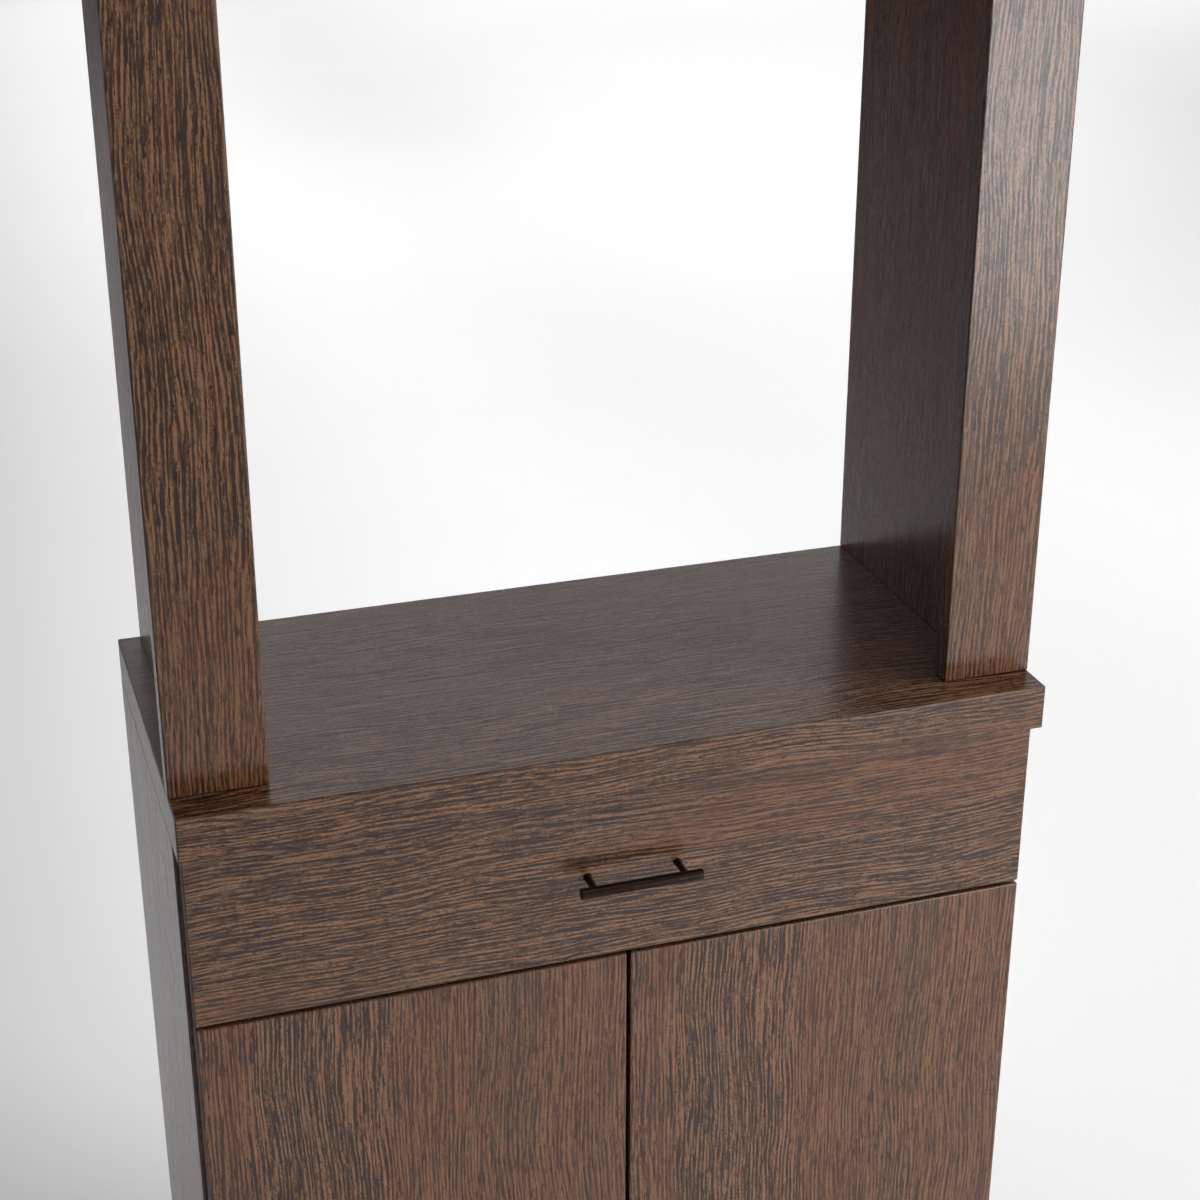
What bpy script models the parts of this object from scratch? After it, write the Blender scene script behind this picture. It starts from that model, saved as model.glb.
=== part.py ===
"""Wine tasting station: a base cabinet with a drawer and two doors, a counter, and an open framed hutch.

Metres, +Z up, front towards -Y. The origin is on the floor, under the middle of the whole station.
"""
import math

import bmesh
import bpy
from mathutils import Matrix, Quaternion, Vector

# Overall sizes
COUNTER_WIDTH = 0.7112
COUNTER_DEPTH = 0.3302
COUNTER_THICKNESS = 0.0381
COUNTER_HEIGHT = 0.9144
STATION_HEIGHT = 2.1336
PANEL_THICKNESS = 0.01905
BACK_THICKNESS = 0.00635
EDGE_ROUNDING = 0.0012

# Fits: SEAT is the gap between pieces that touch, OVERRUN is how far a cut runs past a face
SEAT = 0.0003
OVERRUN = 0.002

# Base cabinet
FRONT_SETBACK = 0.03175
TOE_KICK_HEIGHT = 0.1143
TOE_KICK_DEPTH = 0.0635
RAIL_DEPTH = 0.0762
DADO_DEPTH = 0.00635
RABBET_WIDTH = 0.0095
SHELF_HEIGHT = 0.4191
SHELF_FRONT_SETBACK = 0.0254
SHELF_BACK_GAP = 0.003
SHELF_PIN_DIAMETER = 0.005
SHELF_PIN_REACH = 0.0075
SHELF_PIN_COLLAR_DIAMETER = 0.0075
SHELF_PIN_COLLAR_THICKNESS = 0.0013
SHELF_HOLE_DEPTH = 0.010
SHELF_HOLE_PITCH = 0.032
SHELF_HOLE_COUNT = 7
SHELF_HOLE_INSET = 0.0508

# Hutch
STILE_WIDTH = 0.0762
HEADER_HEIGHT = 0.0762
STILE_GROOVE_DEPTH = 0.00635
DOWEL_DIAMETER = 0.008
DOWEL_LENGTH = 0.040
DOWEL_CHAMFER = 0.001
DOWEL_INSET = 0.0508

# Fronts
FRONT_THICKNESS = 0.018
BUMPER_GAP = 0.001
REVEAL = 0.003175
DRAWER_FRONT_HEIGHT = 0.149225

# Drawer box
DRAWER_DEPTH = 0.254
DRAWER_HEIGHT = 0.1016
DRAWER_WALL = 0.0127
DRAWER_CLEARANCE_BELOW = 0.0127
DRAWER_BOTTOM_THICKNESS = 0.00635
DRAWER_BOTTOM_RISE = 0.0095
DRAWER_GROOVE_DEPTH = 0.00635
TAIL_COUNT = 4
TAIL_SHOULDER_WIDTH = 0.0135
TAIL_FLARE_SHARE = 1 / 7

# Telescopic slides, 45 mm class
SLIDE_THICKNESS = 0.0127
SLIDE_HEIGHT = 0.0457
SLIDE_SETBACK = 0.0016
SLIDE_STEEL = 0.0012
SLIDE_RUNNING_GAP = 0.0004
SLIDE_FLANGE_REACH = 0.0095
SLIDE_RACE_THICKNESS = 0.0042
SLIDE_MIDDLE_REACH = 0.0088
SLIDE_INNER_REACH = 0.0046

# Bar pull
PULL_LENGTH = 0.102
PULL_CENTRES = 0.0762
PULL_BAR_DIAMETER = 0.009
PULL_POST_DIAMETER = 0.0058
PULL_STANDOFF = 0.0235
PULL_DROP = 0.115
PULL_OFF_CENTRE = 0.0027
PULL_END_CHAMFER = 0.0004
PULL_SCREW_DIAMETER = 0.003
PULL_SCREW_HEAD_DIAMETER = 0.0076
PULL_SCREW_HEAD_HEIGHT = 0.0024
PULL_SCREW_BITE = 0.010
PULL_SCREW_SLOT_WIDTH = 0.001
PULL_SCREW_SLOT_DEPTH = 0.0011

# Cup hinges. Places are (inward from the side panel's inner face, forward from the cabinet's front).
HINGE_END_DISTANCE = 0.100
CUP_DIAMETER = 0.035
CUP_BORE_DEPTH = 0.012
CUP_EDGE_DISTANCE = 0.003
CUP_WALL = 0.0008
CUP_FLOOR = 0.0007
CUP_WING_LENGTH = 0.060
CUP_WING_WIDTH = 0.013
CUP_WING_OFFSET = 0.0095
CUP_WING_THICKNESS = 0.0012
LINK_WIDTH = 0.009
LINK_THICKNESS = 0.0018
LINK_PIVOT_INWARD = 0.0085
LINK_PIVOT_BEHIND = 0.008
LINK_PIVOT_EYE_RADIUS = 0.0024
LINK_PIVOT_PIN_RADIUS = 0.0012
DOOR_PIVOT_OUTWARD = 0.0090
DOOR_PIVOT_AHEAD = 0.0064
DOOR_PIVOT_EYE_RADIUS = 0.00175
DOOR_PIVOT_PIN_RADIUS = 0.0008
GOOSENECK_RISE_INWARD = 0.0077
GOOSENECK_CREST_INWARD = 0.0038
GOOSENECK_CREST_OUTWARD = 0.0045
GOOSENECK_CREST_AHEAD = 0.0105
ARM_STEEL = 0.0012
ARM_SIDE_GAP = 0.0004
ARM_DEPTH_INWARD = 0.0135
ARM_UNDERSIDE = 0.0038
ARM_NOSE_RADIUS = 0.0034
ARM_WEB_START = 0.0100
ARM_LENGTH = 0.060
PLATE_THICKNESS = 0.004
PLATE_START = 0.024
PLATE_LENGTH = 0.032
PLATE_WIDTH = 0.0150
PLATE_WING_SPAN = 0.050
PLATE_WING_LENGTH = 0.014
PLATE_SCREW_DIAMETER = 0.0085
PLATE_SCREW_HEIGHT = 0.0012
PLATE_SCREW_SPACING = 0.032

# Push latches under the divider rail
LATCH_INSET = 0.026
LATCH_WIDTH = 0.022
LATCH_HEIGHT = 0.012
LATCH_LENGTH = 0.058
LATCH_SETBACK = 0.002
LATCH_ROUNDING = 0.0015
PLUNGER_DIAMETER = 0.0076
PLUNGER_LENGTH = 0.040
PLUNGER_RUNNING_GAP = 0.0004
PLUNGER_TIP_CHAMFER = 0.0008
PLUNGER_SPRING_ROOM = 0.012

BAR_SIDES = 32
ROUND_SIDES = 16
SMALL_ROUND_SIDES = 12
CUP_SIDES = 32
NOSE_STEPS = 6

# Levels and places that follow
HALF_WIDTH = COUNTER_WIDTH / 2
SIDE_INNER = HALF_WIDTH - PANEL_THICKNESS
FRONT_STANDING = FRONT_SETBACK - BUMPER_GAP - FRONT_THICKNESS
PULL_REACH = PULL_STANDOFF + PULL_BAR_DIAMETER / 2 - FRONT_STANDING
FRONT_Y = -(COUNTER_DEPTH - PULL_REACH) / 2
BACK_Y = FRONT_Y + COUNTER_DEPTH
CARCASS_Y = FRONT_Y + FRONT_SETBACK
BACK_PANEL_Y = BACK_Y - BACK_THICKNESS
FACE_BACK_Y = CARCASS_Y - BUMPER_GAP
FACE_Y = FACE_BACK_Y - FRONT_THICKNESS
COUNTER_BOTTOM = COUNTER_HEIGHT - COUNTER_THICKNESS
CARCASS_TOP = COUNTER_BOTTOM - SEAT
DRAWER_FRONT_TOP = COUNTER_BOTTOM - REVEAL
DRAWER_FRONT_BOTTOM = DRAWER_FRONT_TOP - DRAWER_FRONT_HEIGHT
DOOR_TOP = DRAWER_FRONT_BOTTOM - REVEAL
DOOR_BOTTOM = TOE_KICK_HEIGHT + REVEAL
DIVIDER_MIDDLE = (DRAWER_FRONT_BOTTOM + DOOR_TOP) / 2
DIVIDER_TOP = DIVIDER_MIDDLE + PANEL_THICKNESS / 2
DIVIDER_BOTTOM = DIVIDER_MIDDLE - PANEL_THICKNESS / 2
DRAWER_BOX_Y = FACE_BACK_Y + SEAT
DRAWER_BOX_BOTTOM = DIVIDER_TOP + DRAWER_CLEARANCE_BELOW
DRAWER_BOX_TOP = DRAWER_BOX_BOTTOM + DRAWER_HEIGHT
DRAWER_OUTER = SIDE_INNER - SLIDE_THICKNESS
DRAWER_INNER = DRAWER_OUTER - DRAWER_WALL
SLIDE_Z = (DRAWER_BOX_BOTTOM + DRAWER_BOX_TOP) / 2
SLIDE_Y = CARCASS_Y + SLIDE_SETBACK
PULL_Z = COUNTER_HEIGHT - PULL_DROP
STILE_BACK_Y = CARCASS_Y + PANEL_THICKNESS
UPRIGHT_OUTER = HALF_WIDTH - PANEL_THICKNESS
UPRIGHT_INNER = UPRIGHT_OUTER - PANEL_THICKNESS
TOP_PANEL_BOTTOM = STATION_HEIGHT - PANEL_THICKNESS

# Looks: colour, roughness, metallic
DARK_VENEER = ((0.088, 0.050, 0.034), 0.34, 0.0)
PALE_PLY = ((0.56, 0.42, 0.27), 0.55, 0.0)
DOWEL_BEECH = ((0.62, 0.46, 0.30), 0.6, 0.0)
ZINC_STEEL = ((0.56, 0.57, 0.58), 0.32, 1.0)
NICKEL_STEEL = ((0.66, 0.64, 0.60), 0.24, 1.0)
DARK_BRONZE = ((0.030, 0.019, 0.014), 0.38, 0.85)
DARK_POLYMER = ((0.035, 0.035, 0.037), 0.5, 0.0)
PALE_POLYMER = ((0.62, 0.62, 0.60), 0.5, 0.0)


def clear_scene():
    """Remove whatever the open file holds."""
    for thing in list(bpy.data.objects):
        bpy.data.objects.remove(thing)


def board(lo, hi):
    """A board between two opposite corners, given in any order."""
    shape = bmesh.new()
    bmesh.ops.create_cube(shape, size=1)
    lo, hi = Vector(lo), Vector(hi)
    size = Vector([abs(high - low) for low, high in zip(lo, hi)])
    place = Matrix.Translation((lo + hi) / 2) @ Matrix.Diagonal(size.to_4d())
    bmesh.ops.transform(shape, matrix=place, verts=shape.verts)
    return shape


def extrusion(outline, axis, start, end):
    """An outline carried straight along an axis: (y, z) along X, (x, z) along Y, (x, y) along Z."""
    index = "XYZ".index(axis)
    shape = bmesh.new()
    corners = []
    for point in outline:
        place = list(point)
        place.insert(index, start)
        corners.append(shape.verts.new(place))
    face = shape.faces.new(corners)
    run = Vector((0, 0, 0))
    run[index] = end - start
    raised = bmesh.ops.extrude_face_region(shape, geom=[face])
    moved = [part for part in raised["geom"] if isinstance(part, bmesh.types.BMVert)]
    bmesh.ops.translate(shape, vec=run, verts=moved)
    bmesh.ops.recalc_face_normals(shape, faces=shape.faces)
    return shape


def turning(profile, centre, axis, sides, first_turn=0):
    """A profile of (place along the axis, radius) points spun round an axis through the centre."""
    along = Vector([1 if letter == axis else 0 for letter in "XYZ"])
    across = Vector((0, 0, -1)) if axis == "Y" else Vector((0, -1, 0))
    across.rotate(Quaternion(along, first_turn))
    shape = bmesh.new()
    points = [shape.verts.new(Vector(centre) + along * place + across * radius) for place, radius in profile]
    edges = [shape.edges.new(pair) for pair in zip(points, points[1:])]
    bmesh.ops.spin(shape, geom=points + edges, axis=along, cent=centre, dvec=(0, 0, 0),
                   angle=2 * math.pi, steps=sides, use_merge=True)
    bmesh.ops.remove_doubles(shape, verts=shape.verts, dist=SEAT / 100)
    bmesh.ops.recalc_face_normals(shape, faces=shape.faces)
    return shape


def rod(start, end, radius, sides):
    """A plain round rod between two points that differ along one axis only."""
    start, end = Vector(start), Vector(end)
    axis = max("XYZ", key=lambda letter: abs((end - start)["XYZ".index(letter)]))
    length = (end - start)["XYZ".index(axis)]
    return turning([(0, 0), (0, radius), (length, radius), (length, 0)], start, axis, sides)


def make_object(name, shape):
    """Put a bmesh into the scene as an object whose mesh holds its place."""
    mesh = bpy.data.meshes.new(name)
    shape.to_mesh(mesh)
    shape.free()
    thing = bpy.data.objects.new(name, mesh)
    bpy.context.scene.collection.objects.link(thing)
    return thing


def piece(name, shape, look, rounded=0, smooth=False):
    """One solid piece of the station with its own finish, and its edges rounded if asked."""
    thing = make_object(name, shape)
    colour, roughness, metallic = look
    material = bpy.data.materials.new(name + "_finish")
    material.use_nodes = True
    shader = material.node_tree.nodes["Principled BSDF"]
    shader.inputs["Base Color"].default_value = (*colour, 1)
    shader.inputs["Roughness"].default_value = roughness
    shader.inputs["Metallic"].default_value = metallic
    thing.data.materials.append(material)
    if rounded:
        bevel = thing.modifiers.new("rounded edges", "BEVEL")
        bevel.width = rounded
        bevel.segments = 2
        bevel.limit_method = "ANGLE"
    if smooth:
        thing.data.shade_smooth()
        thing.data.set_sharp_from_angle(angle=math.radians(35))
    return thing


def guide(name, shape):
    """A hidden shape that cuts or joins others and isn't a piece itself."""
    thing = make_object(name, shape)
    thing.hide_render = True
    thing.display_type = "WIRE"
    return thing


def combine(thing, operation, shapes):
    """Join shapes to a piece, or cut them out of it, by exact booleans."""
    for number, shape in enumerate(shapes):
        label = f"{thing.name}_{operation.lower()}_{len(thing.modifiers)}_{number}"
        modifier = thing.modifiers.new(label, "BOOLEAN")
        modifier.operation = operation
        modifier.solver = "EXACT"
        modifier.object = shape if isinstance(shape, bpy.types.Object) else guide(label, shape)


def cut(thing, *shapes):
    """Cut shapes out of a piece."""
    combine(thing, "DIFFERENCE", shapes)


def join(thing, *shapes):
    """Weld shapes onto a piece."""
    combine(thing, "UNION", shapes)


def carried(parent_name, place, pieces):
    """Hang pieces, and their guides, from an empty on their joint's axis, without moving them."""
    empty = bpy.data.objects.new(parent_name, None)
    empty.location = place
    bpy.context.scene.collection.objects.link(empty)
    for thing in pieces:
        helpers = [modifier.object for modifier in thing.modifiers if modifier.type == "BOOLEAN"]
        for member in [thing] + [helper for helper in helpers if helper.parent is None]:
            member.parent = empty
            member.location = -Vector(place)


def side_name(side):
    """The viewer's left is -X."""
    return "left" if side < 0 else "right"


def shelf_pin_places():
    """(y, z) of every shelf pin hole, in two columns of even pitch about the shelf's height."""
    pin_z = SHELF_HEIGHT - SHELF_PIN_DIAMETER / 2 - SEAT
    lowest = pin_z - SHELF_HOLE_PITCH * (SHELF_HOLE_COUNT // 2)
    columns = (CARCASS_Y + SHELF_HOLE_INSET, BACK_PANEL_Y - SHELF_HOLE_INSET)
    return [(y, lowest + SHELF_HOLE_PITCH * row) for y in columns for row in range(SHELF_HOLE_COUNT)]


def make_side_panel(side):
    """A side with its toe kick notch, back rabbet, bottom dado and shelf pin holes."""
    notch_y = CARCASS_Y + TOE_KICK_DEPTH
    outline = [(notch_y, 0), (BACK_Y, 0), (BACK_Y, CARCASS_TOP), (CARCASS_Y, CARCASS_TOP),
               (CARCASS_Y, TOE_KICK_HEIGHT), (notch_y, TOE_KICK_HEIGHT)]
    panel = piece(side_name(side) + "_side_panel", extrusion(outline, "X", side * SIDE_INNER, side * HALF_WIDTH),
                  DARK_VENEER)
    proud = side * (SIDE_INNER - OVERRUN)
    rabbet = board((proud, BACK_PANEL_Y, -OVERRUN),
                   (side * (SIDE_INNER + RABBET_WIDTH), BACK_Y + OVERRUN, CARCASS_TOP + OVERRUN))
    dado = board((proud, CARCASS_Y - OVERRUN, TOE_KICK_HEIGHT - SEAT),
                 (side * (SIDE_INNER + DADO_DEPTH), BACK_Y + OVERRUN, TOE_KICK_HEIGHT + PANEL_THICKNESS + SEAT))
    holes = [rod((proud, y, z), (side * (SIDE_INNER + SHELF_HOLE_DEPTH), y, z),
                 SHELF_PIN_DIAMETER / 2 + SEAT, SMALL_ROUND_SIDES) for y, z in shelf_pin_places()]
    cut(panel, rabbet, dado, *holes)


def make_carcass():
    """The base cabinet: sides, bottom, back, rails, toe kick and the loose shelf on its pins."""
    for side in (-1, 1):
        make_side_panel(side)
    inside = SIDE_INNER - SEAT
    tongue = SIDE_INNER + DADO_DEPTH - SEAT
    piece("cabinet_bottom_panel",
          board((-tongue, CARCASS_Y, TOE_KICK_HEIGHT),
                (tongue, BACK_PANEL_Y, TOE_KICK_HEIGHT + PANEL_THICKNESS)), DARK_VENEER)
    lapped = SIDE_INNER + RABBET_WIDTH - SEAT
    piece("cabinet_back_panel",
          board((-lapped, BACK_PANEL_Y + SEAT, TOE_KICK_HEIGHT), (lapped, BACK_Y, CARCASS_TOP)), DARK_VENEER)
    for name, front_y, top in (("front_top_rail", CARCASS_Y, CARCASS_TOP),
                               ("rear_top_rail", BACK_PANEL_Y - RAIL_DEPTH, CARCASS_TOP),
                               ("drawer_divider_rail", CARCASS_Y, DIVIDER_TOP)):
        piece(name, board((-inside, front_y, top - PANEL_THICKNESS), (inside, front_y + RAIL_DEPTH, top)), DARK_VENEER)
    kick_y = CARCASS_Y + TOE_KICK_DEPTH
    piece("toe_kick_board", board((-inside, kick_y, 0), (inside, kick_y + PANEL_THICKNESS, TOE_KICK_HEIGHT - SEAT)),
          DARK_VENEER)
    shelf_end = SIDE_INNER - SHELF_PIN_COLLAR_THICKNESS - 2 * SEAT
    piece("adjustable_shelf",
          board((-shelf_end, CARCASS_Y + SHELF_FRONT_SETBACK, SHELF_HEIGHT),
                (shelf_end, BACK_PANEL_Y - SHELF_BACK_GAP, SHELF_HEIGHT + PANEL_THICKNESS)),
          DARK_VENEER, rounded=EDGE_ROUNDING / 2)
    make_shelf_pins()


def make_shelf_pins():
    """Four turned pins: a peg in its hole, a collar against the side, and a peg under the shelf."""
    peg = SHELF_PIN_DIAMETER / 2
    collar = SHELF_PIN_COLLAR_DIAMETER / 2
    profile = [(SEAT - SHELF_HOLE_DEPTH, 0), (SEAT - SHELF_HOLE_DEPTH, peg), (SEAT, peg), (SEAT, collar),
               (SEAT + SHELF_PIN_COLLAR_THICKNESS, collar), (SEAT + SHELF_PIN_COLLAR_THICKNESS, peg),
               (SHELF_PIN_REACH, peg), (SHELF_PIN_REACH, 0)]
    places = shelf_pin_places()
    middle = SHELF_HOLE_COUNT // 2
    for label, (y, z) in (("front", places[middle]), ("rear", places[SHELF_HOLE_COUNT + middle])):
        for side in (-1, 1):
            mirrored = [(-side * place, radius) for place, radius in profile]
            piece(f"shelf_pin_{side_name(side)}_{label}",
                  turning(mirrored, (side * SIDE_INNER, y, z), "X", SMALL_ROUND_SIDES), NICKEL_STEEL, smooth=True)


def dowel_places():
    """(x, y) of the dowels that stand the upright panels on the counter."""
    middle_x = (UPRIGHT_OUTER + UPRIGHT_INNER) / 2
    front_y = STILE_BACK_Y + DOWEL_INSET
    rear_y = BACK_Y - DOWEL_INSET
    return [(side * middle_x, y) for side in (-1, 1) for y in (front_y, rear_y)]


def dowel_sockets():
    """Round cuts in the counter and the upright panels, one for each dowel."""
    half = DOWEL_LENGTH / 2 + SEAT
    return [rod((x, y, COUNTER_HEIGHT - half), (x, y, COUNTER_HEIGHT + half), DOWEL_DIAMETER / 2 + SEAT,
                SMALL_ROUND_SIDES) for x, y in dowel_places()]


def make_counter():
    """The thick counter slab, and the dowels that locate the hutch on it."""
    slab = piece("countertop", board((-HALF_WIDTH, FRONT_Y, COUNTER_BOTTOM), (HALF_WIDTH, BACK_Y, COUNTER_HEIGHT)),
                 DARK_VENEER, rounded=EDGE_ROUNDING)
    cut(slab, *dowel_sockets())
    radius = DOWEL_DIAMETER / 2
    half = DOWEL_LENGTH / 2
    profile = [(half, 0), (half, radius - DOWEL_CHAMFER), (half - DOWEL_CHAMFER, radius),
               (DOWEL_CHAMFER - half, radius), (-half, radius - DOWEL_CHAMFER), (-half, 0)]
    labels = ("left_front", "left_rear", "right_front", "right_rear")
    for label, (x, y) in zip(labels, dowel_places()):
        piece("upright_dowel_" + label, turning(profile, (x, y, COUNTER_HEIGHT), "Z", SMALL_ROUND_SIDES),
              DOWEL_BEECH, smooth=True)


def make_hutch():
    """Stiles and header in front, upright panels behind in the stiles' grooves, and a closed top."""
    foot = COUNTER_HEIGHT + SEAT
    for side in (-1, 1):
        outer = side * HALF_WIDTH
        inner = side * (HALF_WIDTH - STILE_WIDTH)
        stile = piece(side_name(side) + "_stile", board((outer, CARCASS_Y, foot), (inner, STILE_BACK_Y, STATION_HEIGHT)),
                      DARK_VENEER, rounded=EDGE_ROUNDING)
        groove = board((side * (UPRIGHT_OUTER + SEAT), STILE_BACK_Y - STILE_GROOVE_DEPTH, COUNTER_HEIGHT - OVERRUN),
                       (side * (UPRIGHT_INNER - SEAT), STILE_BACK_Y + OVERRUN, TOP_PANEL_BOTTOM))
        cut(stile, groove)
        tongue_y = STILE_BACK_Y - STILE_GROOVE_DEPTH + SEAT
        upright = piece(side_name(side) + "_upright_panel",
                        board((side * UPRIGHT_OUTER, tongue_y, foot),
                              (side * UPRIGHT_INNER, BACK_Y, TOP_PANEL_BOTTOM - SEAT)), DARK_VENEER)
        cut(upright, *dowel_sockets())
    opening = HALF_WIDTH - STILE_WIDTH - SEAT
    piece("header_rail", board((-opening, CARCASS_Y, STATION_HEIGHT - HEADER_HEIGHT),
                               (opening, STILE_BACK_Y, STATION_HEIGHT)), DARK_VENEER, rounded=EDGE_ROUNDING)
    piece("top_panel", board((-UPRIGHT_OUTER, STILE_BACK_Y + SEAT, TOP_PANEL_BOTTOM),
                             (UPRIGHT_OUTER, BACK_Y, STATION_HEIGHT)), DARK_VENEER)
    between = UPRIGHT_INNER - SEAT
    rail_top = TOP_PANEL_BOTTOM - SEAT
    piece("rear_header_rail", board((-between, BACK_Y - PANEL_THICKNESS, rail_top - HEADER_HEIGHT),
                                    (between, BACK_Y, rail_top)), DARK_VENEER)


def channel(web_start, web_end, flange_end, half_height, thickness):
    """A C section as (across, up) points: a web between two distances and flanges to a third."""
    inner = half_height - thickness
    return [(web_start, -half_height), (flange_end, -half_height), (flange_end, -inner), (web_end, -inner),
            (web_end, inner), (flange_end, inner), (flange_end, half_height), (web_start, half_height)]


def make_slides():
    """Full extension slides: each member is a rolled C section that nests in the one before."""
    outer_half = SLIDE_HEIGHT / 2
    middle_half = outer_half - SLIDE_STEEL - SLIDE_RUNNING_GAP
    inner_half = middle_half - SLIDE_RACE_THICKNESS - SLIDE_RUNNING_GAP
    outer_web = SEAT + SLIDE_STEEL
    middle_web = outer_web + SLIDE_RUNNING_GAP
    inner_web = SLIDE_THICKNESS - SEAT
    sections = {
        "outer": channel(SEAT, outer_web, SLIDE_FLANGE_REACH, outer_half, SLIDE_STEEL),
        "middle": channel(middle_web, middle_web + SLIDE_STEEL, SLIDE_MIDDLE_REACH, middle_half,
                          SLIDE_RACE_THICKNESS),
        "inner": channel(inner_web, inner_web - SLIDE_STEEL, SLIDE_INNER_REACH, inner_half, SLIDE_STEEL),
    }
    members = {"outer": [], "middle": [], "inner": []}
    for side in (-1, 1):
        for label, section in sections.items():
            outline = [(side * (SIDE_INNER - across), SLIDE_Z + up) for across, up in section]
            members[label].append(piece(f"slide_{label}_{side_name(side)}",
                                        extrusion(outline, "Y", SLIDE_Y, SLIDE_Y + DRAWER_DEPTH), ZINC_STEEL))
    carried("slide_middles_axis", (0, SLIDE_Y, SLIDE_Z), members["middle"])
    return members["inner"]


def tail_half_width(distance):
    """Half the width of a tail at a distance from its shoulder."""
    return TAIL_SHOULDER_WIDTH / 2 + TAIL_FLARE_SHARE * distance


def tail_centres():
    """Heights of the tails, evenly spaced with half a pin at the top and bottom."""
    pitch = DRAWER_HEIGHT / TAIL_COUNT
    return [DRAWER_BOX_BOTTOM + pitch * (number + 1 / 2) for number in range(TAIL_COUNT)]


def drawer_side_outline():
    """(y, z) outline of a drawer side: a board with a row of flared tails at both ends."""
    front, back = DRAWER_BOX_Y, DRAWER_BOX_Y + DRAWER_DEPTH
    length = DRAWER_WALL + SEAT
    points = []
    for end, inward, centres in ((front, 1, tail_centres()), (back, -1, tail_centres()[::-1])):
        shoulder = end + inward * length
        points.append((shoulder, DRAWER_BOX_BOTTOM if inward > 0 else DRAWER_BOX_TOP))
        for centre in centres:
            for place, half in ((shoulder, -tail_half_width(0)), (end, -tail_half_width(length)),
                                (end, tail_half_width(length)), (shoulder, tail_half_width(0))):
                points.append((place, centre + inward * half))
        points.append((shoulder, DRAWER_BOX_TOP if inward > 0 else DRAWER_BOX_BOTTOM))
    return points


def tail_sockets(end, inward):
    """Cuts in the drawer's front or back board, one for each tail of both sides."""
    length = DRAWER_WALL + SEAT
    sockets = []
    for centre in tail_centres():
        outline = []
        for distance, sense in ((-OVERRUN, -1), (length + OVERRUN, -1), (length + OVERRUN, 1), (-OVERRUN, 1)):
            place = end + inward * (length - distance)
            outline.append((place, centre + sense * (tail_half_width(distance) + SEAT)))
        for side in (-1, 1):
            sockets.append(extrusion(outline, "X", side * (DRAWER_OUTER - DRAWER_WALL - SEAT),
                                     side * (DRAWER_OUTER + OVERRUN)))
    return sockets


def make_drawer(inner_slides):
    """A dovetailed box behind a slab front, with its pull, on the slides' inner members."""
    back = DRAWER_BOX_Y + DRAWER_DEPTH
    inner_front = DRAWER_BOX_Y + DRAWER_WALL
    inner_back = back - DRAWER_WALL
    bottom_low = DRAWER_BOX_BOTTOM + DRAWER_BOTTOM_RISE
    bottom_high = bottom_low + DRAWER_BOTTOM_THICKNESS
    reach = DRAWER_INNER + DRAWER_GROOVE_DEPTH

    def groove():
        return board((-reach, inner_front - DRAWER_GROOVE_DEPTH, bottom_low - SEAT),
                     (reach, inner_back + DRAWER_GROOVE_DEPTH, bottom_high + SEAT))

    pieces = list(inner_slides)
    for side in (-1, 1):
        wall = piece(f"drawer_box_{side_name(side)}_side",
                     extrusion(drawer_side_outline(), "X", side * DRAWER_INNER, side * DRAWER_OUTER), PALE_PLY)
        cut(wall, groove())
        pieces.append(wall)
    box_front = piece("drawer_box_front", board((-DRAWER_OUTER, DRAWER_BOX_Y, DRAWER_BOX_BOTTOM),
                                                (DRAWER_OUTER, inner_front, DRAWER_BOX_TOP)), PALE_PLY)
    cut(box_front, groove(), *tail_sockets(DRAWER_BOX_Y, 1), *pull_screw_holes())
    box_back = piece("drawer_box_back", board((-DRAWER_OUTER, inner_back, DRAWER_BOX_BOTTOM),
                                              (DRAWER_OUTER, back, DRAWER_BOX_TOP)), PALE_PLY)
    cut(box_back, groove(), *tail_sockets(back, -1))
    fit = reach - SEAT
    bottom = piece("drawer_bottom", board((-fit, inner_front - DRAWER_GROOVE_DEPTH + SEAT, bottom_low),
                                          (fit, inner_back + DRAWER_GROOVE_DEPTH - SEAT, bottom_high)), PALE_PLY)
    face_half = HALF_WIDTH - REVEAL
    face = piece("drawer_front", board((-face_half, FACE_Y, DRAWER_FRONT_BOTTOM),
                                       (face_half, FACE_BACK_Y, DRAWER_FRONT_TOP)), DARK_VENEER,
                 rounded=EDGE_ROUNDING)
    cut(face, *pull_screw_holes())
    pieces += [box_front, box_back, bottom, face]
    pieces += make_pull(inner_front)
    carried("drawer_axis", (0, DRAWER_BOX_Y, SLIDE_Z), pieces)


def pull_post_places():
    """x of the pull's two posts."""
    return [PULL_OFF_CENTRE + side * PULL_CENTRES / 2 for side in (-1, 1)]


def pull_screw_holes():
    """Clearance holes for the pull's screws, through the drawer front and the box behind it."""
    through = DRAWER_BOX_Y + DRAWER_WALL + OVERRUN
    return [rod((x, FACE_Y - OVERRUN, PULL_Z), (x, through, PULL_Z), PULL_SCREW_DIAMETER / 2 + SEAT,
                SMALL_ROUND_SIDES) for x in pull_post_places()]


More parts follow.
